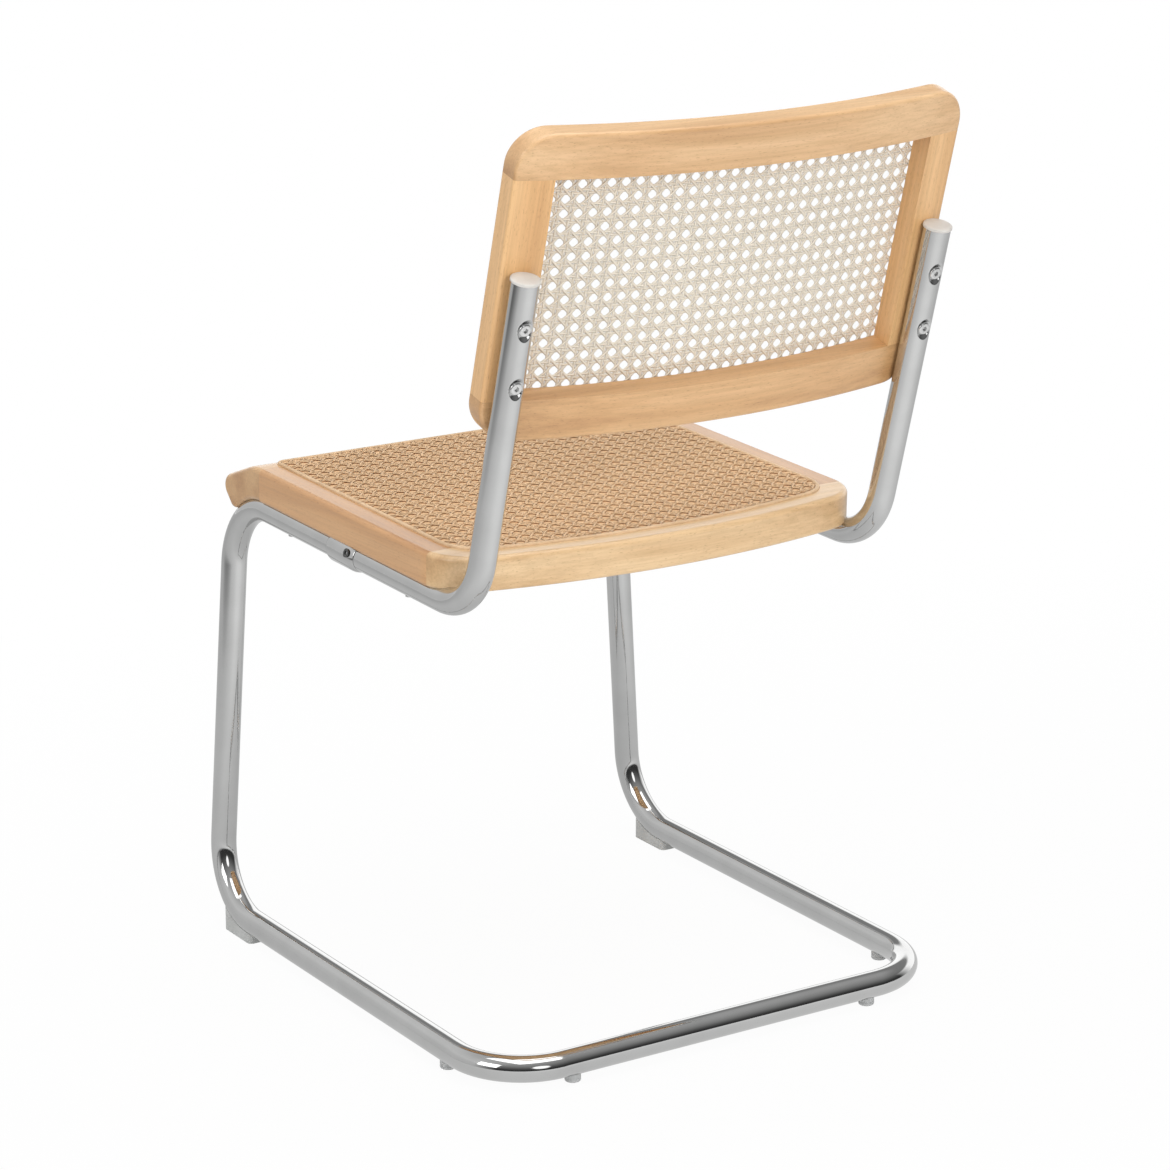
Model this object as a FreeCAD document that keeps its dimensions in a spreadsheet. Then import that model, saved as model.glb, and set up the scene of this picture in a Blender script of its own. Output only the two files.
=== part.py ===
import FreeCAD, Part
import math
import os
import Sketcher

# Rattan side chair: a bent steel tube frame carries a beech seat and a curved beech back,
# and both wooden frames are filled with woven cane held in a groove by a reed spline.
# Front is -Y, up is +Z and left is +X. The origin lies on the floor under the middle of the chair.

Vector = FreeCAD.Vector
document = FreeCAD.newDocument("rattan_side_chair")

# Driving sizes in millimetres, angles in degrees
SIZES = {
    "tube_diameter": 25.0,
    "tube_wall": 2.0,
    "bend_radius": 68.0,
    "front_reach": 281.1,
    "runner_spread": 485.0,
    "runner_length": 523.0,
    "runner_height": 18.5,
    "leg_setback": 5.0,
    "rail_spread": 432.0,
    "rail_height": 434.5,
    "rail_length": 442.0,
    "rail_slope": 1.3,
    "upright_length": 323.0,
    "back_lean": 15.5,
    "joint_reach": 220.0,
    "joint_gap": 0.4,
    "fit_clearance": 0.1,
    "collar_overlap": 21.0,
    "collar_length": 50.0,
    "collar_wall": 2.4,
    "collar_chamfer": 0.8,
    "lock_bolt_offset": 20.0,
    "lock_bolt_diameter": 6.0,
    "lock_bolt_length": 11.0,
    "lock_bolt_head_diameter": 8.5,
    "lock_bolt_head_height": 1.0,
    "lock_bolt_tilt": 20.0,
    "cap_rim": 0.8,
    "cap_rim_height": 2.4,
    "cap_dome_height": 1.8,
    "cap_plug_length": 18.0,
    "back_width": 462.0,
    "back_height": 287.0,
    "back_thickness": 22.0,
    "back_rise": 163.0,
    "back_radius": 1140.0,
    "back_corner_radius": 34.0,
    "back_edge_round": 3.5,
    "top_rail_height": 41.0,
    "bottom_rail_height": 40.0,
    "stile_width": 36.0,
    "back_dowel_spacing": 18.0,
    "back_bolt_height": 64.5,
    "back_bolt_spacing": 55.0,
    "back_bolt_diameter": 6.0,
    "back_bolt_reach": 14.0,
    "back_bolt_head_diameter": 13.0,
    "back_bolt_head_height": 4.6,
    "socket_width": 4.0,
    "socket_depth": 2.4,
    "insert_diameter": 9.0,
    "insert_length": 16.0,
    "insert_recess": 1.2,
    "dowel_diameter": 8.0,
    "dowel_length": 36.0,
    "dowel_chamfer": 0.8,
    "hole_end_room": 0.5,
    "cane_thickness": 1.8,
    "cane_columns": 12.0,
    "cane_rows": 7.0,
    "cane_open_share": 0.53,
    "backing_thickness": 0.6,
    "spline_offset": 12.0,
    "spline_width": 4.4,
    "spline_depth": 7.0,
    "spline_proud": 1.8,
    "back_spline_corner": 16.0,
    "seat_spline_corner": 7.0,
    "seat_width": 456.0,
    "seat_rear": 440.0,
    "seat_rear_radius": 860.0,
    "seat_thickness": 32.0,
    "seat_bed": 2.75,
    "seat_corner_radius": 52.0,
    "seat_top_round": 5.0,
    "seat_bottom_round": 3.0,
    "front_rail_depth": 68.5,
    "side_rail_width": 38.0,
    "rear_rail_depth": 35.0,
    "rear_rail_span": 62.0,
    "opening_corner_radius": 28.0,
    "nose_front": -4.2,
    "nose_radius": 12.4,
    "nose_curve_start": 62.0,
    "nose_curve_radius": 50.0,
    "nose_slope": 22.0,
    "toe_radius": 8.0,
    "seat_dowel_height": 12.0,
    "seat_dowel_inset": 8.0,
    "seat_dowel_spacing": 14.0,
    "seat_screw_front": 112.0,
    "seat_screw_rear": 330.0,
    "seat_screw_diameter": 4.5,
    "seat_screw_reach": 16.0,
    "seat_screw_head_diameter": 8.0,
    "seat_screw_head_height": 1.2,
    "foot_setback": 24.0,
    "foot_length": 53.0,
    "foot_width": 20.0,
    "foot_height": 24.0,
    "foot_corner_radius": 5.0,
    "foot_screw_inset": 5.5,
    "foot_screw_diameter": 4.0,
    "foot_screw_length": 13.0,
    "foot_screw_head_diameter": 8.0,
    "foot_screw_head_height": 2.4,
    "foot_screw_recess": 1.2,
    "glide_diameter": 15.0,
    "glide_stem_diameter": 6.0,
    "glide_stem_length": 16.0,
    "runner_glide_setback": 85.0,
    "bar_glide_spread": 327.0,
}

sheet = document.addObject("Spreadsheet::Sheet", "dims")
for row, (alias, value) in enumerate(SIZES.items(), start=1):
    sheet.set("A%d" % row, alias)
    sheet.set("B%d" % row, str(value))
    sheet.setAlias("B%d" % row, alias)
document.recompute()

UP = Vector(0, 0, 1)
ACROSS = Vector(1, 0, 0)
REARWARD = Vector(0, 1, 0)
SIDES = {"left": 1, "right": -1}
TOLERANCE = 0.01
sub_parts = []


def size(alias):
    """Value of one driving size, read from the sheet."""
    return float(sheet.get(alias))


def sub_part(item, label):
    """Gives a finished piece its name and puts it on the list of pieces to write."""
    item.Label = label
    sub_parts.append(item)
    return item


def unit(vector):
    """Vector of length one in the same direction."""
    return Vector(vector) * (1.0 / vector.Length)


def mirrored(point):
    """The same point on the other side of the chair's middle plane."""
    return Vector(-point.x, point.y, point.z)


def shifted(place, offset):
    """Placement moved by an offset given along its own axes."""
    return place.multiply(FreeCAD.Placement(offset, FreeCAD.Rotation()))


def turned(point, axis):
    """Placement at a point with its Z axis turned onto a direction."""
    return FreeCAD.Placement(point, FreeCAD.Rotation(UP, axis))


def cylinder(name, radius, height, start, axis):
    """Round bar from a start point along an axis, its sizes tied to the sheet."""
    item = document.addObject("Part::Cylinder", name)
    item.setExpression("Radius", radius)
    item.setExpression("Height", height)
    item.Placement = turned(start, axis)
    return item


def fuse(name, items):
    """One shape from several."""
    item = document.addObject("Part::MultiFuse", name)
    item.Shapes = items
    return item


def cut(name, base, tools):
    """The base with every tool taken away."""
    item = document.addObject("Part::Cut", name)
    item.Base = base
    item.Tool = tools[0] if len(tools) == 1 else fuse(name + "_tools", tools)
    return item


def common(name, first, second):
    """What two shapes share."""
    item = document.addObject("Part::Common", name)
    item.Base = first
    item.Tool = second
    return item


def prism(name, face, height, direction):
    """Straight prism over a plane face, its height tied to the sheet."""
    plan = document.addObject("Part::Feature", name + "_plan")
    plan.Shape = face
    item = document.addObject("Part::Extrusion", name)
    item.Base = plan
    item.DirMode = "Custom"
    item.Dir = direction
    item.Solid = True
    item.setExpression("LengthFwd", height)
    return item


def hex_socket(name, level):
    """Hexagonal key socket that opens upward at a level."""
    item = document.addObject("Part::Prism", name)
    item.setExpression("Circumradius", "dims.socket_width / sqrt(3)")
    item.setExpression("Height", "2 * dims.socket_depth")
    item.Placement = FreeCAD.Placement(UP * (level - size("socket_depth")), FreeCAD.Rotation())
    return item


def group(label, master, places):
    """One node that holds a copy of a master piece at each place."""
    document.recompute()
    copies = []
    for place in places:
        copy = master.Shape.copy()
        copy.Placement = place.multiply(copy.Placement)
        copies.append(copy)
    item = document.addObject("Part::Feature", label)
    item.Shape = Part.makeCompound(copies)
    return sub_part(item, label)


def closed_face(edges):
    """Plane face inside a closed run of lines and arcs."""
    return Part.Face(Part.Wire([edge.toShape() for edge in edges]))


def edge_names(shape, wanted):
    """Names of the edges whose ends and middle all satisfy a test."""
    names = []
    for number, edge in enumerate(shape.Edges, start=1):
        middle = edge.valueAt((edge.FirstParameter + edge.LastParameter) / 2)
        points = [vertex.Point for vertex in edge.Vertexes] + [middle]
        if all(wanted(point) for point in points):
            names.append("Edge%d" % number)
    return names


def new_sketch(body, name, role):
    """Sketch on one of a body's own origin planes."""
    sketch = body.newObject("Sketcher::SketchObject", name)
    planes = [plane for plane in body.Origin.OriginFeatures if plane.Role == role]
    sketch.AttachmentSupport = [(planes[0], "")]
    sketch.MapMode = "FlatFace"
    return sketch


def constrain(sketch, kind, places, value, expression):
    """Adds a dimension to a sketch and ties it to the sheet."""
    number = sketch.addConstraint(Sketcher.Constraint(kind, *places, value))
    sketch.setExpression("Constraints[%d]" % number, expression)


def relate(sketch, kind, *places):
    """Adds a geometric relation to a sketch."""
    sketch.addConstraint(Sketcher.Constraint(kind, *places))


def feature(body, kind, name, sizes):
    """Adds a feature to a body, its sizes tied to the sheet."""
    item = body.newObject("PartDesign::" + kind, name)
    for prop, expression in sizes.items():
        item.setExpression(prop, expression)
    return item


def finished(body, item):
    """Makes a feature the body's tip and works it out."""
    body.Tip = item
    document.recompute()
    return item


def pad(body, sketch, name, length):
    """Raises a sketch to a solid."""
    item = feature(body, "Pad", name, {"Length": length})
    item.Profile = sketch
    return finished(body, item)


def dressed(body, kind, prop, names, width):
    """Rounds or bevels named edges of a body's tip."""
    base = body.Tip
    item = feature(body, kind, body.Name + "_" + kind + base.Name, {prop: width})
    item.Base = (base, names)
    return finished(body, item)


def bored(body, name, radius, depth, start, axis):
    """Bores a round hole into a body from a start point along an axis."""
    before = body.Shape.Volume
    item = feature(body, "SubtractiveCylinder", name, {"Radius": radius, "Height": depth})
    item.Placement = turned(start, axis)
    finished(body, item)
    if body.Shape.Volume >= before:
        raise RuntimeError(name + " cuts nothing")


# Reference lines: the seat is drawn with Y along its rails, the back with Z along its uprights
TUBE_RADIUS = size("tube_diameter") / 2
FIT = size("fit_clearance")
slope = math.radians(size("rail_slope"))
lean = math.radians(size("back_lean"))
rail_direction = Vector(0, math.cos(slope), -math.sin(slope))
rail_normal = Vector(0, math.sin(slope), math.cos(slope))
upright_direction = Vector(0, math.sin(lean), math.cos(lean))
back_normal = Vector(0, math.cos(lean), -math.sin(lean))
rail_front = Vector(0, size("leg_setback") - size("front_reach"), size("rail_height"))
rail_rear = rail_front + rail_direction * size("rail_length")
seat_place = FreeCAD.Placement(rail_front, FreeCAD.Rotation(ACROSS, -size("rail_slope")))
back_place = shifted(FreeCAD.Placement(rail_rear, FreeCAD.Rotation(ACROSS, -size("back_lean"))),
                     UP * size("back_rise"))


def rail_point(side, along):
    """Point on a rail's axis, measured back from its front corner."""
    return ACROSS * (side * size("rail_spread") / 2) + rail_front + rail_direction * along


def upright_point(side, along):
    """Point on an upright's axis, measured up from the rail's rear corner."""
    return ACROSS * (side * size("rail_spread") / 2) + rail_rear + upright_direction * along


def runner_point(side, along):
    """Point on a floor runner's axis, measured back from its front corner."""
    return Vector(side * size("runner_spread") / 2, along - size("front_reach"), size("runner_height"))


def on_floor(point):
    """The point on the floor straight below."""
    return Vector(point.x, point.y, 0)


def bent_path(name, points):
    """Path of straight runs joined by tangent arcs of the bend radius."""
    radius = size("bend_radius")
    edges = []
    start = points[0]
    for before, corner, after in zip(points, points[1:], points[2:]):
        back = unit(before - corner)
        ahead = unit(after - corner)
        half_angle = back.getAngle(ahead) / 2
        trim = radius / math.tan(half_angle)
        arc_start = corner + back * trim
        arc_end = corner + ahead * trim
        arc_middle = corner + unit(back + ahead) * (radius / math.sin(half_angle) - radius)
        edges.append(Part.LineSegment(start, arc_start))
        edges.append(Part.Arc(arc_start, arc_middle, arc_end))
        start = arc_end
    edges.append(Part.LineSegment(start, points[-1]))
    item = document.addObject("Part::Feature", name)
    item.Shape = Part.Wire([edge.toShape() for edge in edges])
    return item


def swept_round(name, path, points, radius):
    """Round bar that follows a bent path."""
    ring = document.addObject("Part::Circle", name + "_ring")
    ring.setExpression("Radius", radius)
    ring.Placement = turned(points[0], points[1] - points[0])
    item = document.addObject("Part::Sweep", name)
    item.Sections = [ring]
    item.Spine = (path, ["Edge%d" % (number + 1) for number in range(len(path.Shape.Edges))])
    item.Solid = True
    item.Frenet = False
    return item


def bent_tube(name, points, drillings):
    """Makes a drilled steel tube along a bent path and returns the room that other pieces leave for it."""
    path = bent_path(name + "_path", points)
    skin = swept_round(name + "_skin", path, points, "dims.tube_diameter / 2")
    bore = swept_round(name + "_bore", path, points, "dims.tube_diameter / 2 - dims.tube_wall")
    hollow = cut(name + "_hollow", skin, [bore])
    sub_part(cut(name + "_drilled", hollow, drillings), name)
    return swept_round(name + "_room", path, points, "dims.tube_diameter / 2 + dims.fit_clearance")


# Base tube: front half of both rails, both legs, both runners and the rear floor bar in one run
THROUGH_TUBE = "dims.tube_diameter + 2 * dims.tube_wall"
SEAT_SCREW_HOLE = "dims.seat_screw_diameter / 2 + dims.fit_clearance"
FOOT_SCREW_HOLE = "dims.foot_screw_diameter / 2 + dims.fit_clearance"
STEM_HOLE = "dims.glide_stem_diameter / 2 + dims.fit_clearance"
drill_start = TUBE_RADIUS + size("tube_wall")
bar_middle = runner_point(0, size("runner_length"))
foot_screw_along = size("foot_setback") + size("foot_length") - size("foot_screw_inset")
glide_points = {}
base_points = []
base_drillings = []
for side_name, side in SIDES.items():
    runner_glide = runner_point(side, size("runner_length") - size("runner_glide_setback"))
    glide_points[side_name + "_runner_glide"] = runner_glide
    glide_points[side_name + "_bar_glide"] = bar_middle + ACROSS * (side * size("bar_glide_spread") / 2)
    corners = [rail_point(side, size("joint_reach")), rail_point(side, 0)]
    corners += [runner_point(side, 0), runner_point(side, size("runner_length"))]
    base_points += corners[::side]
    screw_start = rail_point(side, size("seat_screw_front")) - rail_normal * drill_start
    base_drillings.append(cylinder(side_name + "_front_screw_hole", SEAT_SCREW_HOLE, THROUGH_TUBE,
                                   screw_start, rail_normal))
    base_drillings.append(cylinder(side_name + "_foot_screw_hole", FOOT_SCREW_HOLE, "dims.runner_height",
                                   on_floor(runner_point(side, foot_screw_along)), UP))
for name, point in glide_points.items():
    base_drillings.append(cylinder(name + "_hole", STEM_HOLE, "dims.runner_height", on_floor(point), UP))
base_room = bent_tube("base_tube", base_points, base_drillings)

# Upper tubes: rear half of each rail, bent up into the upright that carries the back
BACK_BOLT_HOLE = "dims.back_bolt_diameter / 2 + dims.fit_clearance"
LOCK_HOLE = "dims.lock_bolt_diameter / 2 + dims.fit_clearance"
lock_along = size("joint_reach") + size("lock_bolt_offset")
lock_tilt = math.radians(size("lock_bolt_tilt"))
lock_axes = {side: ACROSS * (side * math.cos(lock_tilt)) + rail_normal * math.sin(lock_tilt)
             for side in SIDES.values()}
bolt_levels = [size("back_bolt_height"), size("back_bolt_height") + size("back_bolt_spacing")]
upper_rooms = []
for side_name, side in SIDES.items():
    drillings = []
    for number, level in enumerate(bolt_levels):
        bolt_start = upright_point(side, size("back_rise") + level) - back_normal * drill_start
        drillings.append(cylinder("%s_bolt_hole_%d" % (side_name, number), BACK_BOLT_HOLE, THROUGH_TUBE,
                                  bolt_start, back_normal))
    screw_start = rail_point(side, size("seat_screw_rear")) - rail_normal * drill_start
    drillings.append(cylinder(side_name + "_rear_screw_hole", SEAT_SCREW_HOLE, THROUGH_TUBE,
                              screw_start, rail_normal))
    drillings.append(cylinder(side_name + "_lock_hole", LOCK_HOLE, THROUGH_TUBE,
                              rail_point(side, lock_along), lock_axes[side]))
    upper_points = [rail_point(side, size("joint_reach") + size("joint_gap"))]
    upper_points += [rail_point(side, size("rail_length")), upright_point(side, size("upright_length"))]
    upper_rooms.append(bent_tube(side_name + "_upper_tube", upper_points, drillings))

# Collars: sleeves over the joint in each rail, brazed to the base tube and bored for a lock bolt
collar_bore = TUBE_RADIUS + FIT
collar_radius = collar_bore + size("collar_wall")
collar_along = size("joint_reach") - size("collar_overlap")
COLLAR_BORE = "dims.tube_diameter / 2 + dims.fit_clearance"
collar_rooms = []
for side_name, side in SIDES.items():
    body = document.addObject("PartDesign::Body", side_name + "_collar")
    sketch = new_sketch(body, side_name + "_collar_section", "XY_Plane")
    sketch.addGeometry(Part.Circle(Vector(), UP, collar_radius))
    sketch.addGeometry(Part.Circle(Vector(), UP, collar_bore))
    relate(sketch, "Coincident", 0, 3, -1, 1)
    relate(sketch, "Coincident", 1, 3, -1, 1)
    constrain(sketch, "Radius", [0], collar_radius, COLLAR_BORE + " + dims.collar_wall")
    constrain(sketch, "Radius", [1], collar_bore, COLLAR_BORE)
    sleeve = pad(body, sketch, side_name + "_collar_sleeve", "dims.collar_length")
    rims = edge_names(sleeve.Shape, lambda p: abs(math.hypot(p.x, p.y) - collar_radius) < TOLERANCE)
    rims = [name for name in rims if sleeve.Shape.getElement(name).isClosed()]
    dressed(body, "Chamfer", "Size", rims, "dims.collar_chamfer")
    collar_place = turned(rail_point(side, collar_along), rail_direction)
    bored(body, side_name + "_collar_lock_hole", LOCK_HOLE, THROUGH_TUBE,
          UP * (lock_along - collar_along), collar_place.Rotation.inverted().multVec(lock_axes[side]))
    body.Placement = collar_place
    sub_part(body, side_name + "_rail_collar")
    collar_rooms.append(cylinder(side_name + "_collar_room",
                                 COLLAR_BORE + " + dims.collar_wall + dims.fit_clearance",
                                 "dims.collar_length + 2 * dims.fit_clearance",
                                 rail_point(side, collar_along - FIT), rail_direction))

# Lock bolts: one through the outer wall of each collar into the upper tube
lock_head = cylinder("lock_bolt_head", "dims.lock_bolt_head_diameter / 2", "dims.lock_bolt_head_height",
                     Vector(), UP)
lock_shank = cylinder("lock_bolt_shank", "dims.lock_bolt_diameter / 2", "dims.lock_bolt_length",
                      Vector(), -UP)
lock_blank = fuse("lock_bolt_blank", [lock_head, lock_shank])
lock_bolt = cut("lock_bolt", lock_blank, [hex_socket("lock_bolt_socket", size("lock_bolt_head_height"))])
lock_places = []
for side in SIDES.values():
    under_head = rail_point(side, lock_along) + lock_axes[side] * (collar_radius + FIT)
    lock_places.append(turned(under_head, lock_axes[side]))
group("lock_bolts", lock_bolt, lock_places)

# End caps: plastic plugs with a shallow domed head that close the uprights
plug_radius = TUBE_RADIUS - size("tube_wall") - FIT
cap_radius = TUBE_RADIUS + size("cap_rim")
crown = size("cap_rim_height") + size("cap_dome_height")
dome_radius = (cap_radius ** 2 + size("cap_dome_height") ** 2) / (2 * size("cap_dome_height"))
for side_name, side in SIDES.items():
    body = document.addObject("PartDesign::Body", side_name + "_cap")
    sketch = new_sketch(body, side_name + "_cap_profile", "XZ_Plane")
    corners = [Vector(0, crown, 0), Vector(0, -size("cap_plug_length"), 0)]
    corners += [Vector(plug_radius, -size("cap_plug_length"), 0), Vector(plug_radius, 0, 0)]
    corners += [Vector(cap_radius, 0, 0), Vector(cap_radius, size("cap_rim_height"), 0)]
    for start, end in zip(corners, corners[1:]):
        sketch.addGeometry(Part.LineSegment(start, end))
    dome = Part.Circle(Vector(0, crown - dome_radius, 0), UP, dome_radius)
    sketch.addGeometry(Part.ArcOfCircle(dome, math.acos(cap_radius / dome_radius), math.pi / 2))
    for line in range(4):
        relate(sketch, "Coincident", line, 2, line + 1, 1)
    relate(sketch, "Coincident", 4, 2, 5, 1)
    relate(sketch, "Coincident", 5, 2, 0, 1)
    for line, kind in enumerate(["Vertical", "Horizontal", "Vertical", "Horizontal", "Vertical"]):
        relate(sketch, kind, line)
    relate(sketch, "PointOnObject", 0, 1, -2)
    relate(sketch, "PointOnObject", 5, 3, -2)
    relate(sketch, "PointOnObject", 3, 1, -1)
    constrain(sketch, "DistanceX", [-1, 1, 2, 1], plug_radius,
              "dims.tube_diameter / 2 - dims.tube_wall - dims.fit_clearance")
    constrain(sketch, "DistanceX", [-1, 1, 4, 1], cap_radius, "dims.tube_diameter / 2 + dims.cap_rim")
    constrain(sketch, "DistanceY", [0, 2, -1, 1], size("cap_plug_length"), "dims.cap_plug_length")
    constrain(sketch, "DistanceY", [-1, 1, 4, 2], size("cap_rim_height"), "dims.cap_rim_height")
    constrain(sketch, "DistanceY", [-1, 1, 0, 1], crown, "dims.cap_rim_height + dims.cap_dome_height")
    round_cap = body.newObject("PartDesign::Revolution", side_name + "_cap_turned")
    round_cap.Profile = sketch
    round_cap.ReferenceAxis = (sketch, ["V_Axis"])
    round_cap.Angle = 360
    finished(body, round_cap)
    body.Placement = turned(upright_point(side, size("upright_length") + FIT), upright_direction)
    sub_part(body, side_name + "_end_cap")

# The curved back: four beech pieces whose rear face lies against the front of both uprights
half_spread = size("rail_spread") / 2
back_centre = -math.sqrt((size("back_radius") + TUBE_RADIUS + FIT) ** 2 - half_spread ** 2)
front_radius = size("back_radius") - size("back_thickness")
half_back = size("back_width") / 2
half_opening = half_back - size("stile_width")
opening_low = size("bottom_rail_height")
opening_high = size("back_height") - size("top_rail_height")
stile_middle = half_back - size("stile_width") / 2
dowel_radius = size("back_radius") - size("back_thickness") / 2
back_dowel_xs = [stile_middle + step * size("back_dowel_spacing") / 2 for step in (-1, 1)]
REAR_RADIUS = "dims.back_radius"
FRONT_RADIUS = "dims.back_radius - dims.back_thickness"
BACK_CENTRE = ("sqrt((dims.back_radius + dims.tube_diameter / 2 + dims.fit_clearance)^2"
               " - (dims.rail_spread / 2)^2)")
HALF_BACK = "dims.back_width / 2"
DOWEL_HOLE = "dims.dowel_diameter / 2 + dims.fit_clearance"
DOWEL_DEPTH = "dims.dowel_length / 2 + dims.hole_end_room"
INSERT_HOLE = "dims.insert_diameter / 2 + dims.fit_clearance"
INSERT_DEPTH = "dims.tube_diameter / 2 + dims.insert_recess + dims.insert_length + dims.hole_end_room"


def arc_depth(radius, x):
    """Depth of an arc about the back's upright centre line, at a distance from the middle plane."""
    return back_centre + math.sqrt(radius ** 2 - x ** 2)


def on_face(point):
    """True for a point on the curved rear or front face of the back."""
    reach = math.hypot(point.x, point.y - back_centre)
    return min(abs(reach - size("back_radius")), abs(reach - front_radius)) < TOLERANCE


def hold_across(sketch, line, x, expression):
    """Keeps an upright line of a sketch at its distance from the middle plane."""
    places = [-1, 1, line, 1] if x > 0 else [line, 1, -1, 1]
    constrain(sketch, "DistanceX", places, abs(x), expression)


def curved_piece(label, low, high, height, lift):
    """Body with the back's curved plan section between two widths, raised to a height."""
    body = document.addObject("PartDesign::Body", label + "_wood")
    sketch = new_sketch(body, label + "_section", "XY_Plane")
    centre = Vector(0, back_centre, 0)
    for radius in (size("back_radius"), front_radius):
        start_angle = math.acos(high[0] / radius)
        end_angle = math.acos(low[0] / radius)
        sketch.addGeometry(Part.ArcOfCircle(Part.Circle(centre, UP, radius), start_angle, end_angle))
    for x in (high[0], low[0]):
        rear_end = Vector(x, arc_depth(size("back_radius"), x), 0)
        sketch.addGeometry(Part.LineSegment(rear_end, Vector(x, arc_depth(front_radius, x), 0)))
    for line, arc_end in ((2, 1), (3, 2)):
        relate(sketch, "Coincident", line, 1, 0, arc_end)
        relate(sketch, "Coincident", line, 2, 1, arc_end)
        relate(sketch, "Vertical", line)
    relate(sketch, "PointOnObject", 0, 3, -2)
    relate(sketch, "Coincident", 1, 3, 0, 3)
    constrain(sketch, "DistanceY", [0, 3, -1, 1], -back_centre, BACK_CENTRE)
    constrain(sketch, "Radius", [0], size("back_radius"), REAR_RADIUS)
    constrain(sketch, "Radius", [1], front_radius, FRONT_RADIUS)
    hold_across(sketch, 2, *high)
    hold_across(sketch, 3, *low)
    pad(body, sketch, label + "_raised", height)
    body.Placement = shifted(back_place, UP * lift)
    return body


def back_rail(label, height_name, lift, joint_level, inward):
    """Full-width rail of the back with rounded outer corners, eased edges and dowel holes."""
    body = curved_piece(label, (-half_back, HALF_BACK), (half_back, HALF_BACK), "dims." + height_name, lift)
    outer_level = size(height_name) - joint_level
    corners = edge_names(body.Tip.Shape, lambda p: abs(abs(p.x) - half_back) < TOLERANCE
                         and abs(p.z - outer_level) < TOLERANCE)
    dressed(body, "Fillet", "Radius", corners, "dims.back_corner_radius")
    shape = body.Tip.Shape
    joint_edges = edge_names(shape, lambda p: abs(p.z - joint_level) < TOLERANCE)
    outline = [name for name in edge_names(shape, on_face) if name not in joint_edges]
    dressed(body, "Fillet", "Radius", outline, "dims.back_edge_round")
    for side_name, side in SIDES.items():
        for number, x in enumerate(back_dowel_xs):
            bored(body, "%s_%s_dowel_hole_%d" % (label, side_name, number), DOWEL_HOLE, DOWEL_DEPTH,
                  Vector(side * x, arc_depth(dowel_radius, x), joint_level), inward)
    return body


def back_stile(label, side):
    """Upright side piece of the back with dowel holes in its ends and two holes for threaded inserts."""
    inner = (side * half_opening, "dims.back_width / 2 - dims.stile_width")
    outer = (side * half_back, HALF_BACK)
    low, high = sorted([inner, outer])
    stile_height = opening_high - opening_low
    body = curved_piece(label, low, high,
                        "dims.back_height - dims.top_rail_height - dims.bottom_rail_height", opening_low)
    outline = edge_names(body.Tip.Shape, lambda p: on_face(p) and abs(abs(p.x) - half_back) < TOLERANCE)
    dressed(body, "Fillet", "Radius", outline, "dims.back_edge_round")
    for number, x in enumerate(back_dowel_xs):
        depth = arc_depth(dowel_radius, x)
        bored(body, "%s_low_dowel_hole_%d" % (label, number), DOWEL_HOLE, DOWEL_DEPTH,
              Vector(side * x, depth, 0), UP)
        bored(body, "%s_high_dowel_hole_%d" % (label, number), DOWEL_HOLE, DOWEL_DEPTH,
              Vector(side * x, depth, stile_height), -UP)
    for number, level in enumerate(bolt_levels):
        bored(body, "%s_insert_hole_%d" % (label, number), INSERT_HOLE, INSERT_DEPTH,
              Vector(side * half_spread, 0, level - opening_low), -REARWARD)
    return body


back_woods = {
    "back_top_rail": back_rail("back_top_rail", "top_rail_height", opening_high, 0.0, UP),
    "back_bottom_rail": back_rail("back_bottom_rail", "bottom_rail_height", 0.0, opening_low, -UP),
    "back_left_stile": back_stile("back_left_stile", 1),
    "back_right_stile": back_stile("back_right_stile", -1),
}


# Cane and spline of the back: the cane lies on the front face, its edge pressed into a groove,
# and a plain grid of openings stands in for its weave
def upright_outline(grow, corner):
    """Rounded rectangle in the plane of the back, larger than its opening by a margin all round."""
    half = half_opening + grow
    low = opening_low - grow
    high = opening_high + grow
    diagonal = corner * (1 - math.sqrt(0.5))
    edges = []
    for x_sign, z_edge, z_sign in ((1, low, 1), (1, high, -1), (-1, high, -1), (-1, low, 1)):
        on_side = Vector(x_sign * half, 0, z_edge + z_sign * corner)
        on_end = Vector(x_sign * (half - corner), 0, z_edge)
        middle = Vector(x_sign * (half - diagonal), 0, z_edge + z_sign * diagonal)
        forward = x_sign * z_sign > 0
        edges.append((on_end, middle, on_side) if forward else (on_side, middle, on_end))
    curves = []
    for arc, after in zip(edges, edges[1:] + edges[:1]):
        curves.append(Part.Arc(*arc))
        curves.append(Part.LineSegment(arc[2], after[0]))
    return closed_face(curves)


def back_shell(name, outer_radius, inner_radius):
    """Curved layer between two radii about the back's upright centre line."""
    centre = Vector(0, back_centre, 0)
    outer = cylinder(name + "_outer", outer_radius, "dims.back_height", centre, UP)
    inner = cylinder(name + "_inner", inner_radius, "dims.back_height", centre, UP)
    return cut(name + "_shell", outer, [inner])


def back_layer(name, face, outer_radius, inner_radius):
    """Piece of a curved layer inside an upright outline, in its place on the back."""
    plan = face.translated(REARWARD * (back_centre + front_radius / 2))
    column = prism(name + "_column", plan, "dims.back_radius", REARWARD)
    item = common(name + "_layer", column, back_shell(name, outer_radius, inner_radius))
    item.Placement = back_place
    return item


half_spline = size("spline_width") / 2
ring_offset = size("spline_offset")
ring_corner = size("back_spline_corner")


def back_ring(half_width):
    """Band of a given half width along the spline's line on the back."""
    outer = upright_outline(ring_offset + half_width, ring_corner + half_width)
    return outer.cut(upright_outline(ring_offset - half_width, ring_corner - half_width)).Faces[0]


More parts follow.
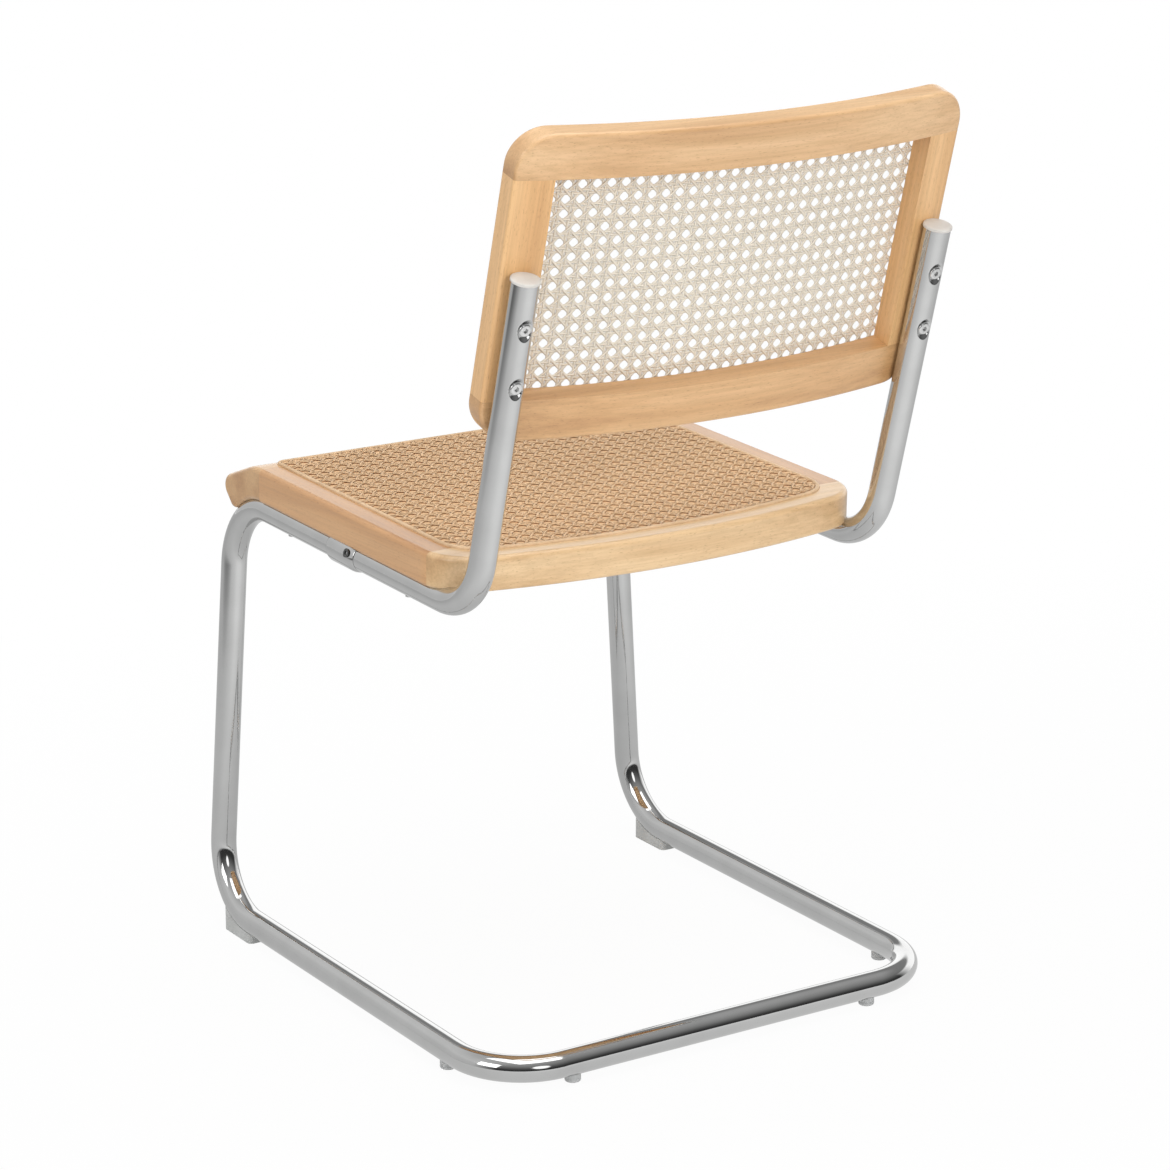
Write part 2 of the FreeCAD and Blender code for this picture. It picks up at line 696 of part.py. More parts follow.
back_groove = back_layer("back_groove", back_ring(half_spline), FRONT_RADIUS + " + dims.spline_depth",
                         FRONT_RADIUS + " - dims.spline_proud")
for label, body in back_woods.items():
    sub_part(cut(label + "_grooved", body, [back_groove]), label)
sub_part(back_layer("back_spline", back_ring(half_spline - FIT),
                    FRONT_RADIUS + " + dims.spline_depth - dims.fit_clearance",
                    FRONT_RADIUS + " - dims.spline_proud"), "back_spline")
cane_grow = ring_offset - half_spline - FIT
cane_sheet = back_layer("back_cane", upright_outline(cane_grow, ring_corner - half_spline),
                        FRONT_RADIUS + " - dims.fit_clearance",
                        FRONT_RADIUS + " - dims.fit_clearance - dims.cane_thickness")
cane_hole = document.addObject("Part::Box", "cane_hole")
cane_hole.setExpression("Length", "(dims.back_width - 2 * dims.stile_width) / dims.cane_columns"
                                  " * dims.cane_open_share")
cane_hole.setExpression("Width", "dims.back_radius")
cane_hole.setExpression("Height", "(dims.back_height - dims.top_rail_height - dims.bottom_rail_height)"
                                  " / dims.cane_rows * dims.cane_open_share")
document.recompute()
column = 2 * half_opening / size("cane_columns")
row = (opening_high - opening_low) / size("cane_rows")
margin = (1 - size("cane_open_share")) / 2
cane_holes = []
for across in range(int(size("cane_columns"))):
    for level in range(int(size("cane_rows"))):
        hole_corner = Vector((across + margin) * column - half_opening, back_centre + front_radius / 2,
                             opening_low + (level + margin) * row)
        cane_holes.append(cane_hole.Shape.translated(hole_corner))
cane_grid = document.addObject("Part::Feature", "cane_grid")
cane_grid.Shape = Part.makeCompound(cane_holes)
cane_grid.Placement = back_place
sub_part(cut("back_cane_open", cane_sheet, [cane_grid]), "back_cane")

# Bolts and threaded inserts that hold the back to the uprights
bolt_dome = document.addObject("Part::Cone", "back_bolt_head")
bolt_dome.setExpression("Radius1", "dims.back_bolt_head_diameter / 2")
bolt_dome.setExpression("Radius2", "dims.back_bolt_head_diameter / 2 - dims.back_bolt_head_height / 2")
bolt_dome.setExpression("Height", "dims.back_bolt_head_height")
bolt_shank = cylinder("back_bolt_shank", "dims.back_bolt_diameter / 2",
                      "dims.tube_diameter + 2 * dims.fit_clearance + dims.back_bolt_reach", Vector(), -UP)
bolt_blank = fuse("back_bolt_blank", [bolt_dome, bolt_shank])
back_bolt = cut("back_bolt", bolt_blank, [hex_socket("back_bolt_socket", size("back_bolt_head_height"))])
insert_skin = cylinder("insert_skin", "dims.insert_diameter / 2", "dims.insert_length", Vector(), UP)
insert_bore = cylinder("insert_bore", BACK_BOLT_HOLE, "dims.insert_length", Vector(), UP)
insert = cut("insert", insert_skin, [insert_bore])
bolt_places = []
insert_places = []
for side in SIDES.values():
    for level in bolt_levels:
        axis_point = upright_point(side, size("back_rise") + level)
        bolt_places.append(turned(axis_point + back_normal * (TUBE_RADIUS + FIT), back_normal))
        insert_end = axis_point - back_normal * (TUBE_RADIUS + size("insert_recess"))
        insert_places.append(turned(insert_end, -back_normal))
group("back_bolts", back_bolt, bolt_places)
group("back_inserts", insert, insert_places)

# Dowels: one beech pin, used in every corner of the back and the seat
dowel_body = document.addObject("PartDesign::Body", "dowel")
pin = feature(dowel_body, "AdditiveCylinder", "dowel_pin",
              {"Radius": "dims.dowel_diameter / 2", "Height": "dims.dowel_length"})
finished(dowel_body, pin)
pin_rims = [name for name in edge_names(pin.Shape, lambda p: True) if pin.Shape.getElement(name).isClosed()]
dressed(dowel_body, "Chamfer", "Size", pin_rims, "dims.dowel_chamfer")
half_dowel = size("dowel_length") / 2
back_dowel_places = []
for side in SIDES.values():
    for x in back_dowel_xs:
        for level in (opening_low, opening_high):
            offset = Vector(side * x, arc_depth(dowel_radius, x), level - half_dowel)
            back_dowel_places.append(shifted(back_place, offset))
group("back_dowels", dowel_body, back_dowel_places)

# Seat frame: a blank with bowed rear edge and rounded corners, divided into its rails
seat_bottom = TUBE_RADIUS - size("seat_bed")
seat_top = seat_bottom + size("seat_thickness")
half_seat = size("seat_width") / 2
half_well = half_seat - size("side_rail_width")
SEAT_TALL = "2 * dims.seat_thickness"


def seat_outline(inset, corner, front, front_corner, level):
    """Plan of the seat drawn in from its edge: straight sides, bowed rear edge, rounded corners."""
    half = half_seat - inset[0]
    rear = size("seat_rear") - inset[1]
    bow_radius = size("seat_rear_radius") - inset[1]
    bow_centre = Vector(0, rear - bow_radius, level)
    corner_x = half - corner
    corner_y = bow_centre.y + math.sqrt((bow_radius - corner) ** 2 - corner_x ** 2)
    corner_centre = Vector(corner_x, corner_y, level)
    bow_direction = unit(corner_centre - bow_centre)
    side_end = corner_centre + ACROSS * corner
    corner_middle = corner_centre + unit(ACROSS + bow_direction) * corner
    bow_end = bow_centre + bow_direction * bow_radius
    front_start = Vector(half, front + front_corner, level)
    front_end = Vector(half - front_corner, front, level)
    curves = [Part.LineSegment(front_start, side_end),
              Part.Arc(side_end, corner_middle, bow_end),
              Part.Arc(bow_end, Vector(0, rear, level), mirrored(bow_end)),
              Part.Arc(mirrored(bow_end), mirrored(corner_middle), mirrored(side_end)),
              Part.LineSegment(mirrored(side_end), mirrored(front_start))]
    if front_corner > 0:
        diagonal = front_corner * (1 - math.sqrt(0.5))
        middle = Vector(half - diagonal, front + diagonal, level)
        curves.append(Part.Arc(mirrored(front_start), mirrored(middle), mirrored(front_end)))
        curves.append(Part.LineSegment(mirrored(front_end), front_end))
        curves.append(Part.Arc(front_end, middle, front_start))
    else:
        curves.append(Part.LineSegment(mirrored(front_start), front_start))
    return closed_face(curves)


def seat_box(name, start, sizes):
    """Box in the seat's own frame, its sizes tied to the sheet."""
    item = document.addObject("Part::Box", name)
    for prop, expression in zip(("Length", "Width", "Height"), sizes):
        item.setExpression(prop, expression)
    item.Placement = FreeCAD.Placement(start, FreeCAD.Rotation())
    return item


front_joint = size("front_rail_depth")
rear_joint = size("seat_rear") - size("rear_rail_span")
blank_plan = seat_outline((0, 0), size("seat_corner_radius"), front_joint, 0, seat_bottom)
blank = prism("seat_blank", blank_plan, "dims.seat_thickness", UP)
document.recompute()
front_edges = edge_names(blank.Shape, lambda p: abs(p.y - front_joint) < TOLERANCE)
blank_rounds = []
for level, round_name in ((seat_bottom, "seat_bottom_round"), (seat_top, "seat_top_round")):
    for name in edge_names(blank.Shape, lambda p: abs(p.z - level) < TOLERANCE):
        if name not in front_edges:
            blank_rounds.append((int(name[4:]), size(round_name), size(round_name)))
eased_blank = document.addObject("Part::Fillet", "seat_blank_eased")
eased_blank.Base = blank
eased_blank.Edges = blank_rounds

well_plan = seat_outline((size("side_rail_width"), size("rear_rail_depth")), size("opening_corner_radius"),
                         front_joint, 0, 0)
well = prism("seat_well", well_plan, SEAT_TALL, UP)


def seat_ring(half_width, level):
    """Band of a given half width along the spline's line on the seat."""
    bands = []
    for step in (half_width, -half_width):
        grow = ring_offset + step
        inset = (size("side_rail_width") - grow, size("rear_rail_depth") - grow)
        corner = size("opening_corner_radius") + grow
        front_corner = size("seat_spline_corner") + step
        bands.append(seat_outline(inset, corner, front_joint - grow, front_corner, level))
    return bands[0].cut(bands[1]).Faces[0]


seat_groove = prism("seat_groove", seat_ring(half_spline, seat_top - size("spline_depth")),
                    "2 * dims.spline_depth", UP)
dowel_level = seat_bottom + size("seat_dowel_height")
seat_dowel_xs = [half_well + size("seat_dowel_inset")]
seat_dowel_xs.append(seat_dowel_xs[0] + size("seat_dowel_spacing"))
dowel_tools = []
for side_name, side in SIDES.items():
    for number, x in enumerate(seat_dowel_xs):
        for joint_name, along in (("front", front_joint), ("rear", rear_joint)):
            start = Vector(side * x, along - half_dowel - size("hole_end_room"), dowel_level)
            hole_name = "%s_%s_seat_dowel_hole_%d" % (side_name, joint_name, number)
            dowel_tools.append(cylinder(hole_name, DOWEL_HOLE, "dims.dowel_length + 2 * dims.hole_end_room",
                                        start, REARWARD))
screw_alongs = [size("seat_screw_front"), size("seat_screw_rear")]
screw_tools = []
for side_name, side in SIDES.items():
    for number, along in enumerate(screw_alongs):
        start = Vector(side * half_spread, along, 0)
        screw_tools.append(cylinder("%s_seat_screw_hole_%d" % (side_name, number), SEAT_SCREW_HOLE,
                                    "dims.tube_diameter / 2 + dims.seat_screw_reach + dims.hole_end_room",
                                    start, UP))
seat_tools = fuse("seat_tools", [seat_groove] + dowel_tools + screw_tools)
tube_rooms = fuse("tube_rooms", [base_room] + upper_rooms + collar_rooms)


def seat_rail(label, wood):
    """Puts a rail of the seat in its place once its groove, its holes and its tube bed are cut."""
    bored_wood = cut(label + "_bored", wood, [seat_tools])
    bored_wood.Placement = seat_place
    sub_part(cut(label + "_bedded", bored_wood, [tube_rooms]), label)


for side_name, side in SIDES.items():
    label = "seat_%s_rail" % side_name
    inner = half_well if side > 0 else -half_seat - size("side_rail_width")
    region = seat_box(label + "_region", Vector(inner, front_joint, 0),
                      ["2 * dims.side_rail_width",
                       "dims.seat_rear - dims.rear_rail_span - dims.front_rail_depth", SEAT_TALL])
    seat_rail(label, common(label + "_wood", eased_blank, region))

rear_region = seat_box("seat_rear_region", Vector(-half_seat, rear_joint, 0),
                       ["dims.seat_width", "dims.seat_rear", SEAT_TALL])
rear_block = common("seat_rear_block", eased_blank, rear_region)
seat_rail("seat_rear_rail", cut("seat_rear_wood", rear_block, [well]))


# Front rail: a thick rail shaped over the front bends of the tube, with a rounded nose and a toe
def nose_profile():
    """Side view of the front rail, from its joint down to nose and toe and back along the tube's bend."""
    radius = size("nose_curve_radius")
    nose = size("nose_radius")
    toe = size("toe_radius")
    tilt = math.radians(size("nose_slope"))
    downhill = Vector(0, -math.cos(tilt), -math.sin(tilt))
    outward = Vector(0, -math.sin(tilt), math.cos(tilt))
    curve_start = Vector(-half_seat, size("nose_curve_start"), seat_top)
    curve_centre = curve_start - UP * radius
    curve_middle = curve_centre + unit(outward + UP) * radius
    curve_end = curve_centre + outward * radius
    slope_run = (curve_end.y + nose * math.sin(tilt) - size("nose_front") - nose) / math.cos(tilt)
    slope_end = curve_end + downhill * slope_run
    nose_centre = slope_end - outward * nose
    forward_down = unit(-REARWARD - UP)
    rearward_down = unit(REARWARD - UP)
    nose_end = nose_centre + forward_down * nose
    nose_middle = nose_centre + unit(outward + forward_down) * nose
    under_radius = size("bend_radius") + seat_bottom
    under_centre = Vector(-half_seat, size("bend_radius"), -size("bend_radius"))
    toe_start = nose_end - forward_down * toe
    away = toe_start - under_centre
    nearing = -away.dot(rearward_down)
    travel = nearing - math.sqrt(nearing ** 2 - away.dot(away) + (under_radius + toe) ** 2)
    toe_centre = toe_start + rearward_down * travel
    toe_top = toe_centre + forward_down * toe
    inward = unit(under_centre - toe_centre)
    toe_heel = toe_centre + inward * toe
    toe_middle = toe_centre + unit(forward_down + inward) * toe
    under_end = under_centre + UP * under_radius
    under_middle = under_centre + unit(UP - inward) * under_radius
    joint_low = Vector(-half_seat, front_joint, seat_bottom)
    joint_high = Vector(-half_seat, front_joint, seat_top)
    return closed_face([Part.LineSegment(joint_high, curve_start),
                        Part.Arc(curve_start, curve_middle, curve_end),
                        Part.LineSegment(curve_end, slope_end),
                        Part.Arc(slope_end, nose_middle, nose_end),
                        Part.LineSegment(nose_end, toe_top),
                        Part.Arc(toe_top, toe_middle, toe_heel),
                        Part.Arc(toe_heel, under_middle, under_end),
                        Part.LineSegment(under_end, joint_low),
                        Part.LineSegment(joint_low, joint_high)])


nose_block = prism("seat_nose_block", nose_profile(), "dims.seat_width", ACROSS)
document.recompute()
end_edges = edge_names(nose_block.Shape, lambda p: abs(abs(p.x) - half_seat) < TOLERANCE)
joint_edges = edge_names(nose_block.Shape, lambda p: abs(p.y - front_joint) < TOLERANCE)
eased_nose = document.addObject("Part::Fillet", "seat_nose_eased")
eased_nose.Base = nose_block
end_round = size("seat_top_round")
eased_nose.Edges = [(int(name[4:]), end_round, end_round) for name in end_edges if name not in joint_edges]
seat_rail("seat_front_rail", eased_nose)


# Backing, cane and spline of the seat: a fine net under the cane carries the sitter, one spline holds both
def seat_sheet(label, thickness, level):
    """Flat sheet that fills the spline's ring on the seat."""
    inset = (size("side_rail_width") - cane_grow, size("rear_rail_depth") - cane_grow)
    corner = size("opening_corner_radius") + cane_grow
    front_corner = size("seat_spline_corner") - half_spline - FIT
    plan = seat_outline(inset, corner, front_joint - cane_grow, front_corner, level)
    item = prism(label + "_sheet", plan, thickness, UP)
    item.Placement = seat_place
    sub_part(item, label)


seat_sheet("seat_backing", "dims.backing_thickness", seat_top + FIT)
seat_sheet("seat_cane", "dims.cane_thickness", seat_top + 2 * FIT + size("backing_thickness"))
seat_spline = prism("seat_spline_ring", seat_ring(half_spline - FIT, seat_top - size("spline_depth") + FIT),
                    "dims.spline_depth - dims.fit_clearance + dims.spline_proud + dims.backing_thickness", UP)
seat_spline.Placement = seat_place
sub_part(seat_spline, "seat_spline")

# Dowels and screws of the seat
seat_dowel_places = []
for side in SIDES.values():
    for x in seat_dowel_xs:
        for along in (front_joint, rear_joint):
            place = shifted(seat_place, Vector(side * x, along - half_dowel, dowel_level))
            seat_dowel_places.append(place.multiply(turned(Vector(), REARWARD)))
group("seat_dowels", dowel_body, seat_dowel_places)

screw_head = cylinder("seat_screw_head", "dims.seat_screw_head_diameter / 2", "dims.seat_screw_head_height",
                      Vector(), -UP)
screw_shank = cylinder("seat_screw_shank", "dims.seat_screw_diameter / 2",
                       "dims.tube_diameter + dims.fit_clearance + dims.seat_screw_reach", Vector(), UP)
seat_screw = fuse("seat_screw", [screw_head, screw_shank])
seat_screw_places = []
for side in SIDES.values():
    for along in screw_alongs:
        under_tube = Vector(side * half_spread, along, -TUBE_RADIUS - FIT)
        seat_screw_places.append(shifted(seat_place, under_tube))
group("seat_screws", seat_screw, seat_screw_places)

# Front feet: plastic saddles under the front floor bends, each held by a screw into the tube
for side_name, side in SIDES.items():
    label = side_name + "_front_foot"
    body = document.addObject("PartDesign::Body", label + "_block")
    sketch = new_sketch(body, label + "_plan", "XY_Plane")
    half_width = size("foot_width") / 2
    corners = [Vector(-half_width, 0, 0), Vector(half_width, 0, 0)]
    corners += [Vector(half_width, size("foot_length"), 0), Vector(-half_width, size("foot_length"), 0)]
    for start, end in zip(corners, corners[1:] + corners[:1]):
        sketch.addGeometry(Part.LineSegment(start, end))
    for line in range(4):
        relate(sketch, "Coincident", line, 2, (line + 1) % 4, 1)
    relate(sketch, "Vertical", 1)
    relate(sketch, "Horizontal", 2)
    relate(sketch, "Vertical", 3)
    relate(sketch, "PointOnObject", 0, 1, -1)
    relate(sketch, "Symmetric", 0, 1, 0, 2, -2)
    constrain(sketch, "DistanceX", [0, 1, 0, 2], size("foot_width"), "dims.foot_width")
    constrain(sketch, "DistanceY", [1, 1, 1, 2], size("foot_length"), "dims.foot_length")
    block = pad(body, sketch, label + "_raised", "dims.foot_height")
    uprights = edge_names(block.Shape, lambda p: abs(abs(p.x) - half_width) < TOLERANCE
                          and min(p.y, size("foot_length") - p.y) < TOLERANCE)
    dressed(body, "Fillet", "Radius", uprights, "dims.foot_corner_radius")
    screw_y = size("foot_length") - size("foot_screw_inset")
    bored(body, label + "_screw_hole", FOOT_SCREW_HOLE, "dims.foot_height", Vector(0, screw_y, 0), UP)
    bored(body, label + "_head_hole", "dims.foot_screw_head_diameter / 2 + dims.fit_clearance",
          "dims.foot_screw_recess + dims.foot_screw_head_height + dims.fit_clearance",
          Vector(0, screw_y, 0), UP)
    body.Placement.Base = on_floor(runner_point(side, size("foot_setback")))
    sub_part(cut(label + "_saddle", body, [base_room]), label)

foot_head = cylinder("foot_screw_head", "dims.foot_screw_head_diameter / 2", "dims.foot_screw_head_height",
                     Vector(), UP)
foot_shank = cylinder("foot_screw_shank", "dims.foot_screw_diameter / 2", "dims.foot_screw_length",
                      Vector(), UP)
foot_screw = fuse("foot_screw", [foot_head, foot_shank])
foot_screw_places = []
for side in SIDES.values():
    foot_screw_at = on_floor(runner_point(side, foot_screw_along)) + UP * size("foot_screw_recess")
    foot_screw_places.append(FreeCAD.Placement(foot_screw_at, FreeCAD.Rotation()))
group("foot_screws", foot_screw, foot_screw_places)

# Glides: clear plastic studs under the runners and the rear floor bar, with a stem in the tube
for label, point in glide_points.items():
    foot = cylinder(label + "_head", "dims.glide_diameter / 2", "dims.runner_height", on_floor(point), UP)
    saddle = cut(label + "_saddle", foot, [base_room])
    stem = cylinder(label + "_stem", "dims.glide_stem_diameter / 2", "dims.glide_stem_length",
                    on_floor(point), UP)
    sub_part(fuse(label + "_stud", [saddle, stem]), label)

# Every piece is checked before it is written
document.recompute()
for item in document.Objects:
    if "Invalid" in item.State or "Error" in item.State:
        raise RuntimeError("%s: %s" % (item.Label, item.State))
os.makedirs("parts", exist_ok=True)
for item in sub_parts:
    if item.Shape.isNull() or not item.Shape.isValid() or not item.Shape.Solids:
        raise RuntimeError(item.Label + " is not a valid solid")
    item.Shape.exportStep("parts/%s.step" % item.Label)
    print(item.Label, len(item.Shape.Solids), round(item.Shape.Volume))
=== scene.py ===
import bpy
import numpy as np
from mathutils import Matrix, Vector


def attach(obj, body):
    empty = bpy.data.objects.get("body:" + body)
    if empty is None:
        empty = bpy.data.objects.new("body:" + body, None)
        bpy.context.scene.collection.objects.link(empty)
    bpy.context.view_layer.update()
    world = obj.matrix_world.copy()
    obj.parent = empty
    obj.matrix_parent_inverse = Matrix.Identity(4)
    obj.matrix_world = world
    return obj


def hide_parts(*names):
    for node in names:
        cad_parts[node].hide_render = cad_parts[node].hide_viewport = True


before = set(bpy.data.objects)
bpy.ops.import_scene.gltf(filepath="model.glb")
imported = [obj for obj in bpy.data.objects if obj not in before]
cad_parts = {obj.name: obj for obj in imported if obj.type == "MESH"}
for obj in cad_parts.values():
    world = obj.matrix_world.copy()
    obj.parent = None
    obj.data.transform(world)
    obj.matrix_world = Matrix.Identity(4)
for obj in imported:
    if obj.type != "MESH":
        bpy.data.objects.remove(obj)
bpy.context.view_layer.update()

# Base tube
# One run of bright chromed 25 mm steel tube, bent cold round a former: front half of the left rail, left
# leg, left floor runner, rear floor bar, and the same again on the right. Its ends stop inside the two
# collars.
MM = 0.001
TUBE_OUTER = 12.5 * MM
TUBE_INNER = 10.5 * MM
BEND_RADIUS = 68.0 * MM
TUBE_SIDES = 56
ARC_STEPS = 22
RAIL_X = 216.0 * MM
RUNNER_X = 242.5 * MM
RUNNER_FRONT_Y = -281.1 * MM
RUNNER_REAR_Y = 241.9 * MM
RUNNER_Z = 18.5 * MM
JOINT_ALONG = 220.0 * MM
RAIL_SLOPE = np.radians(1.3)
rail_front = np.array([0.0, -276.1, 434.5]) * MM
rail_direction = np.array([0.0, np.cos(RAIL_SLOPE), -np.sin(RAIL_SLOPE)])
rail_normal = np.array([0.0, np.sin(RAIL_SLOPE), np.cos(RAIL_SLOPE)])
across = np.array([1.0, 0.0, 0.0])
upward = np.array([0.0, 0.0, 1.0])
SIDES = {"left": 1.0, "right": -1.0}


def unit(vectors):
    """Vectors scaled to length one."""
    return vectors / np.linalg.norm(vectors, axis=-1, keepdims=True)


def rail_point(side, along):
    """Point on a seat rail's axis: the rail's front corner plus a distance along its slope."""
    return across * side * RAIL_X + rail_front + rail_direction * along


def bent_line(corners, radius):
    """Points and directions along straight runs that are joined by tangent circular arcs of one radius."""
    points = [corners[0][None]]
    directions = [unit(corners[1] - corners[0])[None]]
    for before, corner, after in zip(corners, corners[1:], corners[2:]):
        back, ahead = unit(before - corner), unit(after - corner)
        half_angle = np.arccos(back @ ahead) / 2
        centre = corner + unit(back + ahead) * radius / np.sin(half_angle)
        outward = unit(corner + back * radius / np.tan(half_angle) - centre)
        turn = np.linspace(0, np.pi - 2 * half_angle, ARC_STEPS)[:, None]
        points.append(centre + radius * (outward * np.cos(turn) - back * np.sin(turn)))
        directions.append(-outward * np.sin(turn) - back * np.cos(turn))
    points.append(corners[-1][None])
    directions.append(unit(corners[-1] - corners[-2])[None])
    return np.concatenate(points), np.concatenate(directions)


def grid_faces(rows, cols, close_rows):
    """Four-cornered faces of a grid of points, joined round the columns and, if closed, round the rows."""
    row, col = np.meshgrid(np.arange(rows if close_rows else rows - 1), np.arange(cols), indexing="ij")
    next_row, next_col = (row + 1) % rows, (col + 1) % cols
    quads = [row * cols + col, next_row * cols + col, next_row * cols + next_col, row * cols + next_col]
    return np.stack(quads, axis=-1).reshape(-1, 4)


def hollow_tube(path, directions, outer, inner, sides):
    """Tube wall: a circle square to the path is carried along it at the outer radius, back at the inner."""
    lean = across + upward
    first = unit(lean - (directions @ lean)[:, None] * directions)
    second = np.cross(directions, first)
    angle = np.linspace(0, 2 * np.pi, sides, endpoint=False)[None, :, None]
    circle = np.cos(angle) * first[:, None] + np.sin(angle) * second[:, None]
    outside = path[:, None] + outer * circle
    inside = path[:, None] + inner * circle
    points = np.concatenate([outside, inside[::-1]])
    return points.reshape(-1, 3), grid_faces(len(points), sides, True)


def joined(shapes):
    """Several shapes put together as one list of points and one list of faces."""
    starts = np.cumsum([0] + [len(points) for points, faces in shapes])
    faces = [faces + start for (points, faces), start in zip(shapes, starts)]
    return np.concatenate([points for points, faces in shapes]), np.concatenate(faces)


def outward_faces(points, faces):
    """The faces turned so that they point out of the closed shape: its signed volume comes out positive."""
    a, b, c, d = (points[faces[:, corner]] for corner in range(4))
    volume = (a * np.cross(b, c)).sum() + (a * np.cross(c, d)).sum()
    return faces if volume > 0 else faces[:, [1, 0, 3, 2]]


def add_piece(name, shape, material, nodes, crease=None, uv=None):
    """Makes a mesh piece that rides on the chair and stands for its nodes.
    A face whose last two corners are equal is a triangle."""
    points, faces = shape
    corner_counts = np.where(faces[:, 2] == faces[:, 3], 3, 4)
    used = np.arange(4) < corner_counts[:, None]
    mesh = bpy.data.meshes.new(name)
    mesh.vertices.add(len(points))
    mesh.vertices.foreach_set("co", points.ravel())
    mesh.loops.add(int(corner_counts.sum()))
    mesh.loops.foreach_set("vertex_index", faces[used])
    mesh.polygons.add(len(faces))
    mesh.polygons.foreach_set("loop_start", np.cumsum(corner_counts) - corner_counts)
    mesh.polygons.foreach_set("use_smooth", np.ones(len(faces), bool))
    if uv is not None:
        mesh.uv_layers.new(name="strand").data.foreach_set("uv", uv[faces[used]].ravel())
    mesh.update(calc_edges=True)
    if crease is not None:
        mesh.set_sharp_from_angle(angle=np.radians(crease))
    mesh.materials.append(material)
    piece = bpy.data.objects.new(name, mesh)
    bpy.context.scene.collection.objects.link(piece)
    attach(piece, "root")
    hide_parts(*nodes)
    return piece


def new_material(name):
    """Empty node material with one Principled shader; returns the material, its tree and the shader."""
    material = bpy.data.materials.new(name)
    material.use_nodes = True
    tree = material.node_tree
    return material, tree, tree.nodes["Principled BSDF"]


def set_inputs(node, values):
    """Sets constant values on a node's own sockets."""
    for name, value in values.items():
        node.inputs[name].default_value = value


def stretched_noise(tree, source, scale, detail, turn=(0.0, 0.0, 0.0), shift=(0.0, 0.0, 0.0)):
    """Noise over a coordinate that is shifted, turned and then scaled differently along each axis."""
    mapping = tree.nodes.new("ShaderNodeMapping")
    mapping.vector_type = "TEXTURE"
    set_inputs(mapping, {"Location": shift, "Rotation": turn, "Scale": [1 / value for value in scale]})
    noise = tree.nodes.new("ShaderNodeTexNoise")
    set_inputs(noise, {"Scale": 1.0, "Detail": detail})
    tree.links.new(source, mapping.inputs["Vector"])
    tree.links.new(mapping.outputs["Vector"], noise.inputs["Vector"])
    return noise.outputs["Fac"]


def ramp(tree, source, stops):
    """Colour ramp with the given (position, colour) stops."""
    node = tree.nodes.new("ShaderNodeValToRGB")
    while len(node.color_ramp.elements) < len(stops):
        node.color_ramp.elements.new(0.5)
    for element, (position, colour) in zip(node.color_ramp.elements, stops):
        element.position = position
        element.color = (*colour, 1.0)
    tree.links.new(source, node.inputs["Fac"])
    return node.outputs["Color"]


def mixed(tree, kind, amount, first, second):
    """Colour mix of two sources; the amount is a number or a source."""
    node = tree.nodes.new("ShaderNodeMix")
    node.data_type = "RGBA"
    node.blend_type = kind
    colours = [socket for socket in node.inputs if socket.type == "RGBA"]
    if isinstance(amount, float):
        node.inputs["Factor"].default_value = amount
    else:
        tree.links.new(amount, node.inputs["Factor"])
    tree.links.new(first, colours[0])
    tree.links.new(second, colours[1])
    return [socket for socket in node.outputs if socket.type == "RGBA"][0]


def ranged(tree, source, low, high):
    """Spreads a noise value of about 0.3 to 0.7 over a range."""
    node = tree.nodes.new("ShaderNodeMapRange")
    set_inputs(node, {"From Min": 0.3, "From Max": 0.7, "To Min": low, "To Max": high})
    tree.links.new(source, node.inputs["Value"])
    return node.outputs["Result"]


def bumped(tree, shader, source, strength, distance):
    """Raises the shader's surface by a source."""
    node = tree.nodes.new("ShaderNodeBump")
    set_inputs(node, {"Strength": strength, "Distance": distance})
    tree.links.new(source, node.inputs["Height"])
    tree.links.new(node.outputs["Normal"], shader.inputs["Normal"])


def object_place(tree):
    """Object coordinates."""
    return tree.nodes.new("ShaderNodeTexCoord").outputs["Object"]


chrome, tree, shader = new_material("bright_chrome")
set_inputs(shader, {"Metallic": 1.0, "Coat Weight": 0.0})
place = object_place(tree)
cloud = stretched_noise(tree, place, (26, 26, 26), 3.0)
wipe = stretched_noise(tree, place, (340, 340, 340), 2.0)
chrome_tones = [(0.3, (0.59, 0.592, 0.588)), (0.7, (0.64, 0.642, 0.638))]
tree.links.new(ramp(tree, cloud, chrome_tones), shader.inputs["Base Color"])
tree.links.new(ranged(tree, wipe, 0.05, 0.1), shader.inputs["Roughness"])
bumped(tree, shader, cloud, 0.05, 0.0004)

base_corners = []
for side in SIDES.values():
    run = [rail_point(side, JOINT_ALONG), rail_point(side, 0.0)]
    run += [np.array([side * RUNNER_X, y, RUNNER_Z]) for y in (RUNNER_FRONT_Y, RUNNER_REAR_Y)]
    base_corners += run if side > 0 else run[::-1]
base_path = bent_line(base_corners, BEND_RADIUS)
add_piece("base_tube_chromed", hollow_tube(*base_path, TUBE_OUTER, TUBE_INNER, TUBE_SIDES), chrome,
          ["base_tube"], crease=40)

# Upper tubes
# Two lengths of the same chromed tube: the rear half of each seat rail, bent up into the upright for the
# back. They start in the collars and end open under the caps. Flat seats for the bolts' heads are pressed
# into the uprights.
JOINT_GAP = 0.4 * MM
FIT = 0.1 * MM
RAIL_LENGTH = 442.0 * MM
UPRIGHT_LENGTH = 323.0 * MM
BACK_LEAN = np.radians(15.5)
BOLT_RISES = (227.5 * MM, 282.5 * MM)
PRESS_DEPTH = 3.0 * MM
PRESS_RADIUS = 6.6 * MM
PRESS_SLOPE = 0.75
PRESS_REACH = 11.5 * MM
PRESS_STEPS = 48
UPPER_SIDES = 112
upright_direction = np.array([0.0, np.sin(BACK_LEAN), np.cos(BACK_LEAN)])
back_normal = np.array([0.0, np.cos(BACK_LEAN), -np.sin(BACK_LEAN)])


